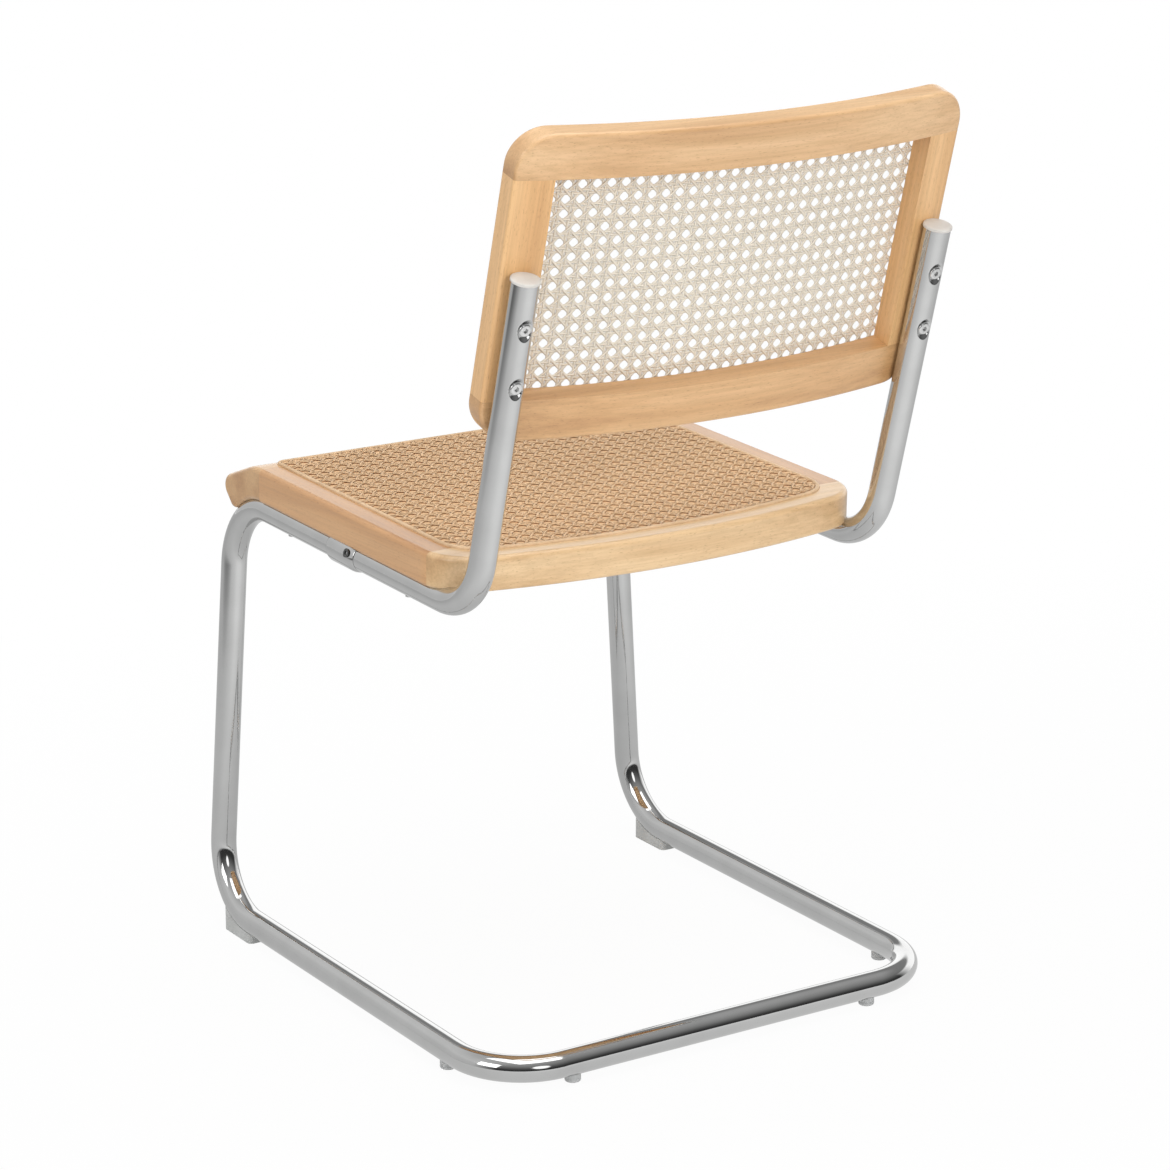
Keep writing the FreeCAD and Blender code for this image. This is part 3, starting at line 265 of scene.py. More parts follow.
def upright_point(side, along):
    """Point on an upright's axis: the rail's rear corner plus a distance up the lean."""
    return rail_point(side, RAIL_LENGTH) + upright_direction * along


def pressed(points, middle, axis, level):
    """Points pushed back along an axis to a flat round floor at a level, or to the cone that opens from its
    edge, whose height is the level plus the slope times the distance past the edge."""
    offset = points - middle
    height = offset @ axis
    distance = np.linalg.norm(offset - height[:, None] * axis, axis=1)
    limit = level + PRESS_SLOPE * np.clip(distance - PRESS_RADIUS, 0, None)
    return points + np.minimum(limit - height, 0)[:, None] * axis


for side_name, side in SIDES.items():
    upper_corners = [rail_point(side, JOINT_ALONG + JOINT_GAP), rail_point(side, RAIL_LENGTH),
                     upright_point(side, UPRIGHT_LENGTH)]
    path, directions = bent_line(upper_corners, BEND_RADIUS)
    near_bolts = [rise + np.linspace(-PRESS_REACH, PRESS_REACH, PRESS_STEPS)[:, None] for rise in BOLT_RISES]
    rings = upright_point(side, np.concatenate(near_bolts))
    path = np.concatenate([path[:-1], rings, path[-1:]])
    directions = np.concatenate([directions[:-1], np.tile(upright_direction, (len(rings) + 1, 1))])
    points, faces = hollow_tube(path, directions, TUBE_OUTER, TUBE_INNER, UPPER_SIDES)
    wall_radius = np.repeat([TUBE_OUTER, TUBE_INNER], len(points) // 2)
    for rise in BOLT_RISES:
        points = pressed(points, upright_point(side, rise), back_normal, wall_radius - PRESS_DEPTH)
    add_piece(side_name + "_upper_tube_chromed", (points, faces), chrome,
              [side_name + "_upper_tube"], crease=40)

# Collars
# A short chromed sleeve over the joint in each rail, ground to a soft taper at both ends; it is brazed to
# the base tube, and the upper tube is pushed into it and held by a lock bolt from the outer side.
COLLAR_START = 199.0 * MM
COLLAR_PROFILE = np.array([(12.6, 0.0), (12.95, 0.0), (13.3, 0.5), (14.3, 2.5), (14.8, 3.8), (15.0, 5.4),
                           (15.0, 41.0), (14.85, 43.2), (14.2, 46.4), (13.3, 49.5), (12.95, 50.0),
                           (12.6, 50.0)]) * MM


def around(axis, sides):
    """Unit vectors square to an axis, spread evenly round it."""
    first = unit(np.cross(axis, across + upward))
    second = np.cross(axis, first)
    angle = np.linspace(0, 2 * np.pi, sides, endpoint=False)[:, None]
    return np.cos(angle) * first + np.sin(angle) * second


def turned_ring(profile, base, axis, sides):
    """Ring of revolution: a closed profile of (radius, height) points is carried round an axis."""
    spokes = around(axis, sides)
    points = base + profile[:, None, :1] * spokes[None] + profile[:, None, 1:] * axis
    return points.reshape(-1, 3), grid_faces(len(profile), sides, True)


for side_name, side in SIDES.items():
    sleeve = turned_ring(COLLAR_PROFILE, rail_point(side, COLLAR_START), rail_direction, TUBE_SIDES)
    add_piece(side_name + "_collar_chromed", sleeve, chrome, [side_name + "_rail_collar"],
              crease=40)

# Lock bolts
# A blackened socket bolt through the outer wall of each collar into the upper tube. The CAD solid is shown,
# with a dull oxide finish.
black_oxide, tree, shader = new_material("black_oxide")
set_inputs(shader, {"Metallic": 0.85})
place = object_place(tree)
oxide = stretched_noise(tree, place, (900, 900, 900), 3.0)
oxide_tones = [(0.3, (0.09, 0.09, 0.088)), (0.7, (0.17, 0.17, 0.167))]
tree.links.new(ramp(tree, oxide, oxide_tones), shader.inputs["Base Color"])
tree.links.new(ranged(tree, oxide, 0.28, 0.45), shader.inputs["Roughness"])


def finish_node(name, material):
    """Gives a CAD solid its finish."""
    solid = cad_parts[name]
    solid.data.materials.clear()
    solid.data.materials.append(material)


finish_node("lock_bolts", black_oxide)

# End caps
# Off-white moulded plastic plugs pressed into the open tops of the uprights, with a rim a little wider than
# the tube and a shallow dome.
CAP_SEAT = 323.1 * MM
CAP_PROFILE = np.array([(0.0, -18.0), (9.6, -18.0), (10.4, -17.0), (10.4, 0.0), (12.7, 0.0), (13.1, 0.2),
                        (13.3, 0.6), (13.3, 2.0), (13.05, 2.5), (12.4, 2.85), (10.4, 3.3), (7.4, 3.75),
                        (3.8, 4.1), (0.0, 4.2)]) * MM


def turned_solid(radius, height, base, axis, sides):
    """Solid of revolution: rings of given radius and height about an axis, closed by a point at either end.
    Radius and height have one row for each ring, and one column or one for each direction."""
    spokes = around(axis, sides)
    rings = base + radius[1:-1, :, None] * spokes[None] + height[1:-1, :, None] * axis
    count = len(rings)
    poles = base + height[[0, -1], 0][:, None] * axis
    points = np.concatenate([rings.reshape(-1, 3), poles])
    col = np.arange(sides)
    following = (col + 1) % sides
    low = np.stack([following, col, np.full(sides, count * sides)], axis=-1)
    last = (count - 1) * sides
    high = np.stack([last + col, last + following, np.full(sides, count * sides + 1)], axis=-1)
    ends = np.concatenate([low, high])
    faces = np.concatenate([grid_faces(count, sides, False)[:, ::-1], ends[:, [0, 1, 2, 2]]])
    return points, faces


def shape_of_profile(profile, base, axis, sides):
    """Solid of revolution from one profile of (radius, height) points."""
    return turned_solid(profile[:, :1], profile[:, 1:], base, axis, sides)


cap_plastic, tree, shader = new_material("off_white_plastic")
set_inputs(shader, {"Specular IOR Level": 0.45})
place = object_place(tree)
mould = stretched_noise(tree, place, (1300, 1300, 1300), 2.0)
shade = stretched_noise(tree, place, (90, 90, 90), 2.0)
cap_tones = [(0.3, (0.65, 0.62, 0.58)), (0.7, (0.72, 0.695, 0.655))]
tree.links.new(ramp(tree, shade, cap_tones), shader.inputs["Base Color"])
tree.links.new(ranged(tree, mould, 0.38, 0.5), shader.inputs["Roughness"])
bumped(tree, shader, mould, 0.15, 0.0001)
for side_name, side in SIDES.items():
    cap = shape_of_profile(CAP_PROFILE, upright_point(side, CAP_SEAT), upright_direction, TUBE_SIDES)
    add_piece(side_name + "_cap_moulded", cap, cap_plastic, [side_name + "_end_cap"],
              crease=50)

# Rails and stiles of the back
# Four pieces of solid beech, sawn to a curve in plan and dowelled at the corners: wide top and bottom rails
# with rounded outer corners, and two stiles. Edges are eased and the wood has a clear satin lacquer.
BEECH_LIGHT = (0.82, 0.54, 0.29)
BEECH_MIDDLE = (0.74, 0.46, 0.23)
BEECH_DARK = (0.64, 0.375, 0.175)
BEECH_FLECK = (0.46, 0.25, 0.105)


def beech(name, along, turn, tint, shift=(0.0, 0.0, 0.0)):
    """Lacquered beech: slow bands, fine streaks and short dark flecks, all drawn out along the grain's axis,
    and darker end grain on faces square to it. The tint scales each colour: a board's own tone, or on some
    boards painted light or shade. The shift is its place in the log."""
    material, tree, shader = new_material(name)
    set_inputs(shader, {"Specular IOR Level": 0.5, "Coat Weight": 0.7, "Coat Roughness": 0.22})
    place = object_place(tree)

    def grain(lengthwise, crosswise, detail):
        """Noise that is coarse along the grain and fine across it."""
        scale = [lengthwise if axis == along else crosswise for axis in range(3)]
        return stretched_noise(tree, place, scale, detail, turn, shift)

    bands = grain(2.6, 46.0, 3.0)
    streaks = grain(9.0, 420.0, 4.0)
    flecks = grain(190.0, 1500.0, 1.0)
    tones = ((0.32, BEECH_DARK), (0.47, BEECH_MIDDLE), (0.66, BEECH_LIGHT))
    tone = ramp(tree, bands, [(stop, tuple(np.multiply(colour, tint))) for stop, colour in tones])
    line = ramp(tree, streaks, [(0.34, (0.80, 0.76, 0.70)), (0.62, (1.0, 1.0, 1.0))])
    colour = mixed(tree, "MULTIPLY", 0.55, tone, line)
    fleck_share = tuple(np.divide(BEECH_FLECK, BEECH_MIDDLE))
    fleck = ramp(tree, flecks, [(0.62, (1.0, 1.0, 1.0)), (0.74, fleck_share)])
    colour = mixed(tree, "MULTIPLY", 0.6, colour, fleck)
    facing = tree.nodes.new("ShaderNodeSeparateXYZ")
    tree.links.new(tree.nodes.new("ShaderNodeTexCoord").outputs["Normal"], facing.inputs["Vector"])
    endwise = tree.nodes.new("ShaderNodeMath")
    endwise.operation = "ABSOLUTE"
    tree.links.new(facing.outputs[along], endwise.inputs[0])
    end_grain = ramp(tree, endwise.outputs["Value"], [(0.55, (1.0, 1.0, 1.0)), (0.95, (0.84, 0.78, 0.70))])
    colour = mixed(tree, "MULTIPLY", 1.0, colour, end_grain)
    tree.links.new(colour, shader.inputs["Base Color"])
    tree.links.new(ranged(tree, streaks, 0.36, 0.5), shader.inputs["Roughness"])
    bumped(tree, shader, streaks, 0.12, 0.0003)
    return material


PLAIN_BOARD = (1.0, 1.0, 1.0)
WARM_BOARD = (0.97, 0.92, 0.84)
GOLDEN_BOARD = (1.06, 1.0, 0.87)
finish_node("back_top_rail", beech("beech_top_rail", 0, (0, 0, 0), PLAIN_BOARD))
finish_node("back_bottom_rail", beech("beech_bottom_rail", 0, (0, 0, 0), WARM_BOARD))
beech_upright = beech("beech_stiles", 2, (-BACK_LEAN, 0, 0), GOLDEN_BOARD)
for name in ("back_left_stile", "back_right_stile"):
    finish_node(name, beech_upright)

# Cane of the back
# Woven cane: upright and level strands in pairs, plainly woven where they cross, and single slanting strands
# both ways that leave eight-sided holes. It lies on the front face of the frame, with its edge pressed into
# a groove.
BACK_RISE = 163.0 * MM
BACK_RADIUS = 1140.0 * MM
BACK_THICKNESS = 22.0 * MM
back_foot = rail_point(0.0, RAIL_LENGTH) + upright_direction * BACK_RISE
back_centre = -np.sqrt((BACK_RADIUS + TUBE_OUTER + FIT) ** 2 - RAIL_X ** 2)
front_face_radius = BACK_RADIUS - BACK_THICKNESS
CANE_PITCH = 13.5 * MM
CANE_WIDTH = 2.5 * MM
CANE_THICKNESS = 0.56 * MM
PAIR_HALF = 1.5 * MM
WEAVE_LIFT = 0.3 * MM
SLANT_LIFT = 0.58 * MM
CANE_LAYER = 1.0 * MM
BACK_OPENING = (195.0 * MM, 40.0 * MM, 246.0 * MM)
CANE_GROW = 9.7 * MM
CANE_CORNER = 13.8 * MM
RING_GROW = 12.0 * MM
RING_CORNER = 16.0 * MM
CORNER_STEPS = 9


def on_back(u, v, lift):
    """Place on the back: u across, v up its plane, and lift rearward from the frame's curved front face."""
    depth = back_centre + np.sqrt((front_face_radius + lift) ** 2 - u ** 2)
    return (back_foot + u[..., None] * across + depth[..., None] * back_normal
            + v[..., None] * upright_direction)


def rounded(corners, radii, steps):
    """Closed outline of straight sides joined by arcs: each corner has its own radius."""
    corners = np.array(corners)
    back = unit(np.roll(corners, 1, axis=0) - corners)
    ahead = unit(np.roll(corners, -1, axis=0) - corners)
    half_angle = np.arccos((back * ahead).sum(axis=1)) / 2
    radius = np.array(radii)
    centre = corners + unit(back + ahead) * (radius / np.sin(half_angle))[:, None]
    first = unit(corners + back * (radius / np.tan(half_angle))[:, None] - centre)
    turn = np.linspace(0, 1, steps)[None, :] * (np.pi - 2 * half_angle)[:, None]
    swing = first[:, None] * np.cos(turn)[..., None] - back[:, None] * np.sin(turn)[..., None]
    return (centre[:, None] + radius[:, None, None] * swing).reshape(-1, 2)


def back_outline(grow, corner):
    """Rounded rectangle on the back, larger than its opening by a margin."""
    half, low, high = BACK_OPENING
    edge, bottom, top = half + grow, low - grow, high + grow
    box = [(edge, bottom), (edge, top), (-edge, top), (-edge, bottom)]
    return rounded(box, [corner] * 4, CORNER_STEPS)


def inside_spans(outline, starts, direction):
    """For lines from given starts in one direction, the stretch of each that is inside a convex outline."""
    edge = np.roll(outline, -1, axis=0) - outline
    length = np.linalg.norm(edge, axis=1)
    outline, edge = outline[length > 1e-7], edge[length > 1e-7]
    inward = np.stack([-edge[:, 1], edge[:, 0]], axis=1)
    reach = (inward * outline).sum(axis=1)[None] - starts @ inward.T
    rate = inward @ direction
    with np.errstate(divide="ignore", invalid="ignore"):
        crossing = reach / rate
    low = np.where(rate > 1e-12, crossing, -np.inf).max(axis=1)
    high = np.where(rate < -1e-12, crossing, np.inf).min(axis=1)
    outside = ((np.abs(rate) <= 1e-12) & (reach > 0)).any(axis=1)
    return low, np.where(outside, low, high)


def strand_family(outline, starts, direction, stations, lift):
    """Centre lines of parallel strands: each keeps the stations inside the outline and its two cut ends.
    Stations are distances along the direction, and lift gives the height of strand k at them."""
    lines = []
    low, high = inside_spans(outline, starts, direction)
    for number, (start, first, last) in enumerate(zip(starts, low, high)):
        if last - first < CANE_PITCH / 2:
            continue
        inner = stations[(stations > first + CANE_WIDTH / 4) & (stations < last - CANE_WIDTH / 4)]
        along = np.concatenate([[first], inner, [last]])
        lines.append((start + along[:, None] * direction, lift(number, along), along))
    return lines


def woven(lines, direction, place):
    """Strands of flat four-sided section: half the width to each side, half the thickness up and down."""
    sideways = np.array([-direction[1], direction[0]])
    shapes, maps = [], []
    for number, (line, lift, along) in enumerate(lines):
        half = sideways * CANE_WIDTH / 2
        flat = np.stack([line + half, line, line - half, line], axis=1)
        rise = lift[:, None] + np.array([0.0, 0.5, 0.0, -0.5]) * CANE_THICKNESS
        points = place(flat[..., 0], flat[..., 1], rise).reshape(-1, 3)
        last = len(points) - 4
        ends = np.array([[0, 1, 2, 3], [last + 3, last + 2, last + 1, last]])
        shapes.append((points, np.concatenate([grid_faces(len(line), 4, False)[:, ::-1], ends])))
        tint = (number * 0.618 + 0.1 * np.arange(4)) % 97
        maps.append(np.stack(np.broadcast_arrays(along[:, None], tint), axis=-1).reshape(-1, 2))
    return joined(shapes), np.concatenate(maps)


def paired_weave(outline, middle, place):
    """Upright and level pairs of strands, woven plainly where the pairs cross and flat in between."""
    steps = np.arange(-20, 21) * CANE_PITCH
    knots = np.array([-2.0, -1.0, 0.0, 1.0, 2.0]) * PAIR_HALF
    stations = np.sort(np.concatenate([(steps[:, None] + knots).ravel(), steps + CANE_PITCH / 2]))
    parts = []
    for direction, sign in ((np.array([0.0, 1.0]), 1.0), (np.array([1.0, 0.0]), -1.0)):
        square = direction[::-1]
        offsets = (steps[:, None] + np.array([-1.0, 1.0]) * PAIR_HALF).ravel()
        starts = middle + offsets[:, None] * square

        def lift(number, along):
            """Height along a strand: a sine wave at each crossing, flat between, reversed in its neighbour."""
            gap = (along + CANE_PITCH / 2) % CANE_PITCH - CANE_PITCH / 2
            wave = np.where(np.abs(gap) < 2 * PAIR_HALF, np.sin(np.pi * gap / (2 * PAIR_HALF)), 0.0)
            return sign * (1.0 if number % 2 else -1.0) * WEAVE_LIFT * wave

        lines = strand_family(outline, starts, direction, stations, lift)
        parts.append(woven(lines, direction, place))
    return joined([shape for shape, uv in parts]), np.concatenate([uv for shape, uv in parts])


def slanting_weave(outline, middle, place):
    """Slanting strands both ways: one over the uprights and under the levels, the other the reverse."""
    steps = (np.arange(-40, 40) + 0.5) * CANE_PITCH
    diagonal = CANE_PITCH * np.sqrt(2)
    stations = np.arange(-160, 161) * diagonal / 4
    parts = []
    for slope in (1.0, -1.0):
        direction = np.array([1.0, slope]) / np.sqrt(2)
        starts = middle + steps[:, None] * np.array([0.0, 1.0])

        def lift(number, along):
            """Height along a strand: a cosine with one wave for each diagonal of the weave."""
            return slope * SLANT_LIFT * np.cos(2 * np.pi * along / diagonal)

        lines = strand_family(outline, starts, direction, stations, lift)
        parts.append(woven(lines, direction, place))
    return joined([shape for shape, uv in parts]), np.concatenate([uv for shape, uv in parts])


def cane(name, light, dark, sheen, mottle):
    """Natural cane: a skin whose tone changes from strand to strand, with long fine fibres and small darker
    spots. The sheen is its share of reflection, and the mottle the share of the spots."""
    material, tree, shader = new_material(name)
    set_inputs(shader, {"Specular IOR Level": sheen})
    place = tree.nodes.new("ShaderNodeUVMap")
    place.uv_map = "strand"
    tones = stretched_noise(tree, place.outputs["UV"], (6.0, 9.0, 1.0), 2.0)
    fibres = stretched_noise(tree, place.outputs["UV"], (60.0, 40.0, 1.0), 3.0)
    tone = ramp(tree, tones, [(0.3, dark), (0.7, light)])
    fibre = ramp(tree, fibres, [(0.3, (0.86, 0.83, 0.78)), (0.6, (1.0, 1.0, 1.0))])
    spots = stretched_noise(tree, object_place(tree), (260, 260, 260), 2.0)
    spot = ramp(tree, spots, [(0.36, (0.72, 0.70, 0.66)), (0.58, (1.0, 1.0, 1.0))])
    colour = mixed(tree, "MULTIPLY", mottle, mixed(tree, "MULTIPLY", 0.7, tone, fibre), spot)
    tree.links.new(colour, shader.inputs["Base Color"])
    tree.links.new(ranged(tree, fibres, 0.36, 0.55), shader.inputs["Roughness"])
    bumped(tree, shader, fibres, 0.2, 0.0002)
    return material


# The back's cane colour is partly its own pale straw and partly painted light, raised to stand in for light
# passing through the thin strands.
pale_and_lit_cane = cane("pale_and_lit_cane", (0.96, 0.895, 0.785), (0.88, 0.80, 0.675), 0.4, 0.25)
back_cane_outline = back_outline(CANE_GROW, CANE_CORNER)
back_cane_middle = np.array([0.0, (BACK_OPENING[1] + BACK_OPENING[2]) / 2])


def back_cane_place(u, v, rise):
    """Place in the cane layer of the back, raised towards the front."""
    return on_back(u, v, -CANE_LAYER - rise)


shape, uv = paired_weave(back_cane_outline, back_cane_middle, back_cane_place)
shape = shape[0], outward_faces(*shape)
add_piece("back_cane_pairs", shape, pale_and_lit_cane, ["back_cane"], uv=uv)
shape, uv = slanting_weave(back_cane_outline, back_cane_middle, back_cane_place)
shape = shape[0], outward_faces(*shape)
add_piece("back_cane_slants", shape, pale_and_lit_cane, ["back_cane"], uv=uv)

# Spline of the back
# A round-backed strip of peeled reed, driven with glue into the groove round the opening, over the edge of
# the cane; its back stands a little proud of the wood.
SPLINE_PROFILE = np.array([(2.05, -6.0), (2.1, 0.0), (1.9, 0.75), (1.35, 1.35), (0.7, 1.68), (0.0, 1.78),
                           (-0.7, 1.68), (-1.35, 1.35), (-1.9, 0.75), (-2.1, 0.0), (-2.05, -6.0)]) * MM
BEAD_STEP = 12.0 * MM


def bead(outline, profile, place):
    """Strip that follows a closed outline: its section of (sideways, up) points is carried round it."""
    ahead = unit(np.roll(outline, -1, axis=0) - outline)
    along = unit(ahead + np.roll(ahead, 1, axis=0))
    sideways = np.stack([along[:, 1], -along[:, 0]], axis=1)
    flat = outline[:, None] + profile[None, :, :1] * sideways[:, None]
    points = place(flat[..., 0], flat[..., 1], np.broadcast_to(profile[None, :, 1], flat.shape[:2]))
    points = points.reshape(-1, 3)
    faces = grid_faces(len(outline), len(profile), True)
    return points, outward_faces(points, faces)


def reed(name, light, dark, sheen):
    """Peeled reed: slow changes of tone and fine fibres; the sheen is its share of reflection."""
    material, tree, shader = new_material(name)
    set_inputs(shader, {"Specular IOR Level": sheen})
    place = object_place(tree)
    fibres = stretched_noise(tree, place, (260, 260, 260), 4.0)
    tones = stretched_noise(tree, place, (30, 30, 30), 2.0)
    tone = ramp(tree, tones, [(0.3, dark), (0.7, light)])
    fibre = ramp(tree, fibres, [(0.3, (0.8, 0.78, 0.74)), (0.6, (1.0, 1.0, 1.0))])
    tree.links.new(mixed(tree, "MULTIPLY", 0.5, tone, fibre), shader.inputs["Base Color"])
    tree.links.new(ranged(tree, fibres, 0.4, 0.55), shader.inputs["Roughness"])
    bumped(tree, shader, fibres, 0.2, 0.0002)
    return material


def back_bead_place(u, v, rise):
    """Place on the front face of the back, raised towards the front."""
    return on_back(u, v, -rise)


def filled(outline, gap):
    """The outline with points added on its long sides, no further apart than a gap."""
    ends = np.roll(outline, -1, axis=0)
    counts = np.maximum(1, np.ceil(np.linalg.norm(ends - outline, axis=1) / gap).astype(int))
    runs = [np.linspace(start, end, count, endpoint=False)
            for start, end, count in zip(outline, ends, counts)]
    return np.concatenate(runs)


back_ring = filled(back_outline(RING_GROW, RING_CORNER), BEAD_STEP)
pale_reed = reed("pale_reed", (0.72, 0.58, 0.42), (0.62, 0.47, 0.32), 0.4)
back_bead = bead(back_ring, SPLINE_PROFILE, back_bead_place)
add_piece("back_spline_reed", back_bead, pale_reed, ["back_spline"], crease=50)

# Bolts, inserts and dowels of the back
# Four bright socket bolts with low heads go through the uprights, each head in its pressed seat, into brass
# inserts in the stiles. Inserts and beech dowels are hidden in the wood, and keep their CAD solids.
BOLT_RINGS = np.array([(0.0, 0.4), (2.0, 0.4), (2.0, 2.1), (2.4, 2.25), (4.4, 2.2), (5.1, 2.05), (5.6, 1.7),
                       (5.9, 1.2), (6.0, 0.7), (6.0, 0.2), (5.85, 0.0), (3.0, 0.0), (3.0, -35.6),
                       (2.6, -36.2), (0.0, -36.2)]) * MM
SOCKET_RINGS = slice(1, 3)
BOLT_SIDES = 48


def socket_bolt(base, axis):
    """Low-headed bolt turned about its axis, with a six-sided socket: there the radius is the flat's distance
    over the cosine of the angle from the middle of the nearest flat."""
    angle = np.linspace(0, 2 * np.pi, BOLT_SIDES, endpoint=False)
    from_flat = (angle + np.pi / 6) % (np.pi / 3) - np.pi / 6
    radius = np.repeat(BOLT_RINGS[:, :1], BOLT_SIDES, axis=1)
    radius[SOCKET_RINGS] = radius[SOCKET_RINGS] / np.cos(from_flat)
    points, faces = turned_solid(radius, BOLT_RINGS[:, 1:], base, axis, BOLT_SIDES)
    return points, outward_faces(points - base, faces)


zinc, tree, shader = new_material("bright_zinc")
set_inputs(shader, {"Metallic": 1.0})
place = object_place(tree)
spangle = stretched_noise(tree, place, (700, 700, 700), 3.0)
zinc_tones = [(0.3, (0.66, 0.66, 0.655)), (0.7, (0.78, 0.78, 0.775))]
tree.links.new(ramp(tree, spangle, zinc_tones), shader.inputs["Base Color"])
tree.links.new(ranged(tree, spangle, 0.10, 0.2), shader.inputs["Roughness"])
bolt_shapes = []
for side in SIDES.values():
    for rise in BOLT_RISES:
        head_seat = upright_point(side, rise) + back_normal * (TUBE_OUTER - PRESS_DEPTH + FIT)
        bolt_shapes.append(socket_bolt(head_seat, back_normal))
add_piece("back_bolts_bright", joined(bolt_shapes), zinc, ["back_bolts"], crease=35)

brass, tree, shader = new_material("plain_brass")
set_inputs(shader, {"Metallic": 1.0})
place = object_place(tree)
tarnish = stretched_noise(tree, place, (400, 400, 400), 3.0)
brass_tones = [(0.3, (0.48, 0.33, 0.12)), (0.7, (0.66, 0.48, 0.2))]
tree.links.new(ramp(tree, tarnish, brass_tones), shader.inputs["Base Color"])
tree.links.new(ranged(tree, tarnish, 0.25, 0.4), shader.inputs["Roughness"])
finish_node("back_inserts", brass)
finish_node("back_dowels", beech_upright)

# Rails of the seat
# Four beech rails dowelled into a flat frame that lies in shallow beds on the tube rails: a front rail
# rolled over into a nose, two side rails, and a bowed rear rail with round corners. Same lacquer as the
# back.
NOSE_BOARD = (0.96, 0.95, 0.9)
# The rear rail's tint lightens and pales its beech: painted light.
PAINTED_LIGHT_BOARD = (1.08, 1.18, 1.26)
# The side rails' tint darkens and reddens their beech: painted shade.
SHADED_REDDER_BOARD = (0.86, 0.74, 0.61)
finish_node("seat_front_rail", beech("beech_nose", 0, (0, 0, 0), NOSE_BOARD))
REAR_BOARD_SHIFT = (0.1, 0.3, 0.9)
finish_node("seat_rear_rail", beech("beech_rear_rail", 0, (0, 0, 0), PAINTED_LIGHT_BOARD, REAR_BOARD_SHIFT))
beech_lengthwise = beech("beech_side_rails", 1, (RAIL_SLOPE, 0, 0), SHADED_REDDER_BOARD)
for name in ("seat_left_rail", "seat_right_rail", "seat_dowels"):
    finish_node(name, beech_lengthwise)

# Backing of the seat
# A fine tan net stretched over the seat frame under the cane, held in the same groove; it carries the sitter
# and closes the holes of the cane. The CAD solid is shown, with its plain weave as a small relief.
tan_net, tree, shader = new_material("tan_net")
set_inputs(shader, {"Roughness": 0.85, "Specular IOR Level": 0.2})
place = object_place(tree)
threads = []
for run in ("X", "Y"):
    thread = tree.nodes.new("ShaderNodeTexWave")
    thread.bands_direction = run
    set_inputs(thread, {"Scale": 130.0, "Distortion": 0.6, "Detail": 1.0})
    tree.links.new(place, thread.inputs["Vector"])
    threads.append(thread.outputs["Color"])
net = mixed(tree, "MULTIPLY", 0.8, *threads)
fade = stretched_noise(tree, place, (24, 24, 24), 3.0)
fibre = ramp(tree, fade, [(0.3, (0.86, 0.575, 0.33)), (0.7, (0.94, 0.65, 0.39))])
weave = ramp(tree, net, [(0.0, (0.80, 0.77, 0.72)), (0.6, (1.0, 1.0, 1.0))])
tree.links.new(mixed(tree, "MULTIPLY", 0.8, fibre, weave), shader.inputs["Base Color"])
bumped(tree, shader, net, 0.5, 0.0003)
finish_node("seat_backing", tan_net)

# Cane of the seat
# The same weave in a browner cane, laid over the net on top of the seat frame and pressed with it into the
# groove round the opening.
SEAT_TOP = 41.75 * MM
SEAT_HALF = 228.0 * MM
SEAT_REAR = 440.0 * MM
SEAT_BOW = 860.0 * MM
SIDE_RAIL = 38.0 * MM
REAR_RAIL = 35.0 * MM
FRONT_RAIL = 68.5 * MM
WELL_CORNER = 28.0 * MM
FRONT_CORNER = 7.0 * MM
SEAT_CANE_LAYER = 1.7 * MM
SEAT_BEAD_RISE = 0.6 * MM
MIDDLE_ROW = 16


def seat_ring_outline(grow):
    """Outline on the seat, larger than its opening by a margin: straight front and sides, a bowed rear edge
    that is an arc about a point far in front, and rounded corners."""
    corner = WELL_CORNER + grow
    half = SEAT_HALF - SIDE_RAIL + grow
    rear = SEAT_REAR - REAR_RAIL + grow
    bow = SEAT_BOW - REAR_RAIL + grow
    front = FRONT_RAIL - grow
    bow_centre = rear - bow
    corner_x = half - corner
    corner_y = bow_centre + np.sqrt((bow - corner) ** 2 - corner_x ** 2)
    end_angle = np.arctan2(corner_y - bow_centre, corner_x)
    rear_turn = np.linspace(0, end_angle, 12)
    rear_right = np.stack([corner_x + corner * np.cos(rear_turn),
                           corner_y + corner * np.sin(rear_turn)], axis=1)
    bow_turn = np.linspace(end_angle, np.pi - end_angle, 26)[1:-1]
    rear_edge = np.stack([bow * np.cos(bow_turn), bow_centre + bow * np.sin(bow_turn)], axis=1)
    front_turn = np.linspace(np.pi, 1.5 * np.pi, 8)
    tight = FRONT_CORNER + grow - RING_GROW
    front_left = np.stack([tight - half + tight * np.cos(front_turn),
                           front + tight + tight * np.sin(front_turn)], axis=1)
    mirror = np.array([-1.0, 1.0])
    return np.concatenate([rear_right, rear_edge, rear_right[::-1] * mirror,
                           front_left, front_left[::-1] * mirror])


def on_seat(u, v, lift):
    """Place on the seat: u across, v back along the rails, and lift above the top of the wood."""
    return (rail_front + u[..., None] * across + v[..., None] * rail_direction
            + (SEAT_TOP + lift)[..., None] * rail_normal)


def seat_cane_place(u, v, rise):
    """Place in the cane layer of the seat."""
    return on_seat(u, v, SEAT_CANE_LAYER + rise)


tan_cane = cane("tan_cane", (0.86, 0.59, 0.355), (0.76, 0.505, 0.29), 0.15, 0.55)
seat_cane_outline = seat_ring_outline(CANE_GROW)
seat_cane_middle = np.array([0.0, MIDDLE_ROW * CANE_PITCH])
shape, uv = paired_weave(seat_cane_outline, seat_cane_middle, seat_cane_place)
shape = shape[0], outward_faces(*shape)
add_piece("seat_cane_pairs", shape, tan_cane, ["seat_cane"], uv=uv)
shape, uv = slanting_weave(seat_cane_outline, seat_cane_middle, seat_cane_place)
shape = shape[0], outward_faces(*shape)
add_piece("seat_cane_slants", shape, tan_cane, ["seat_cane"], uv=uv)

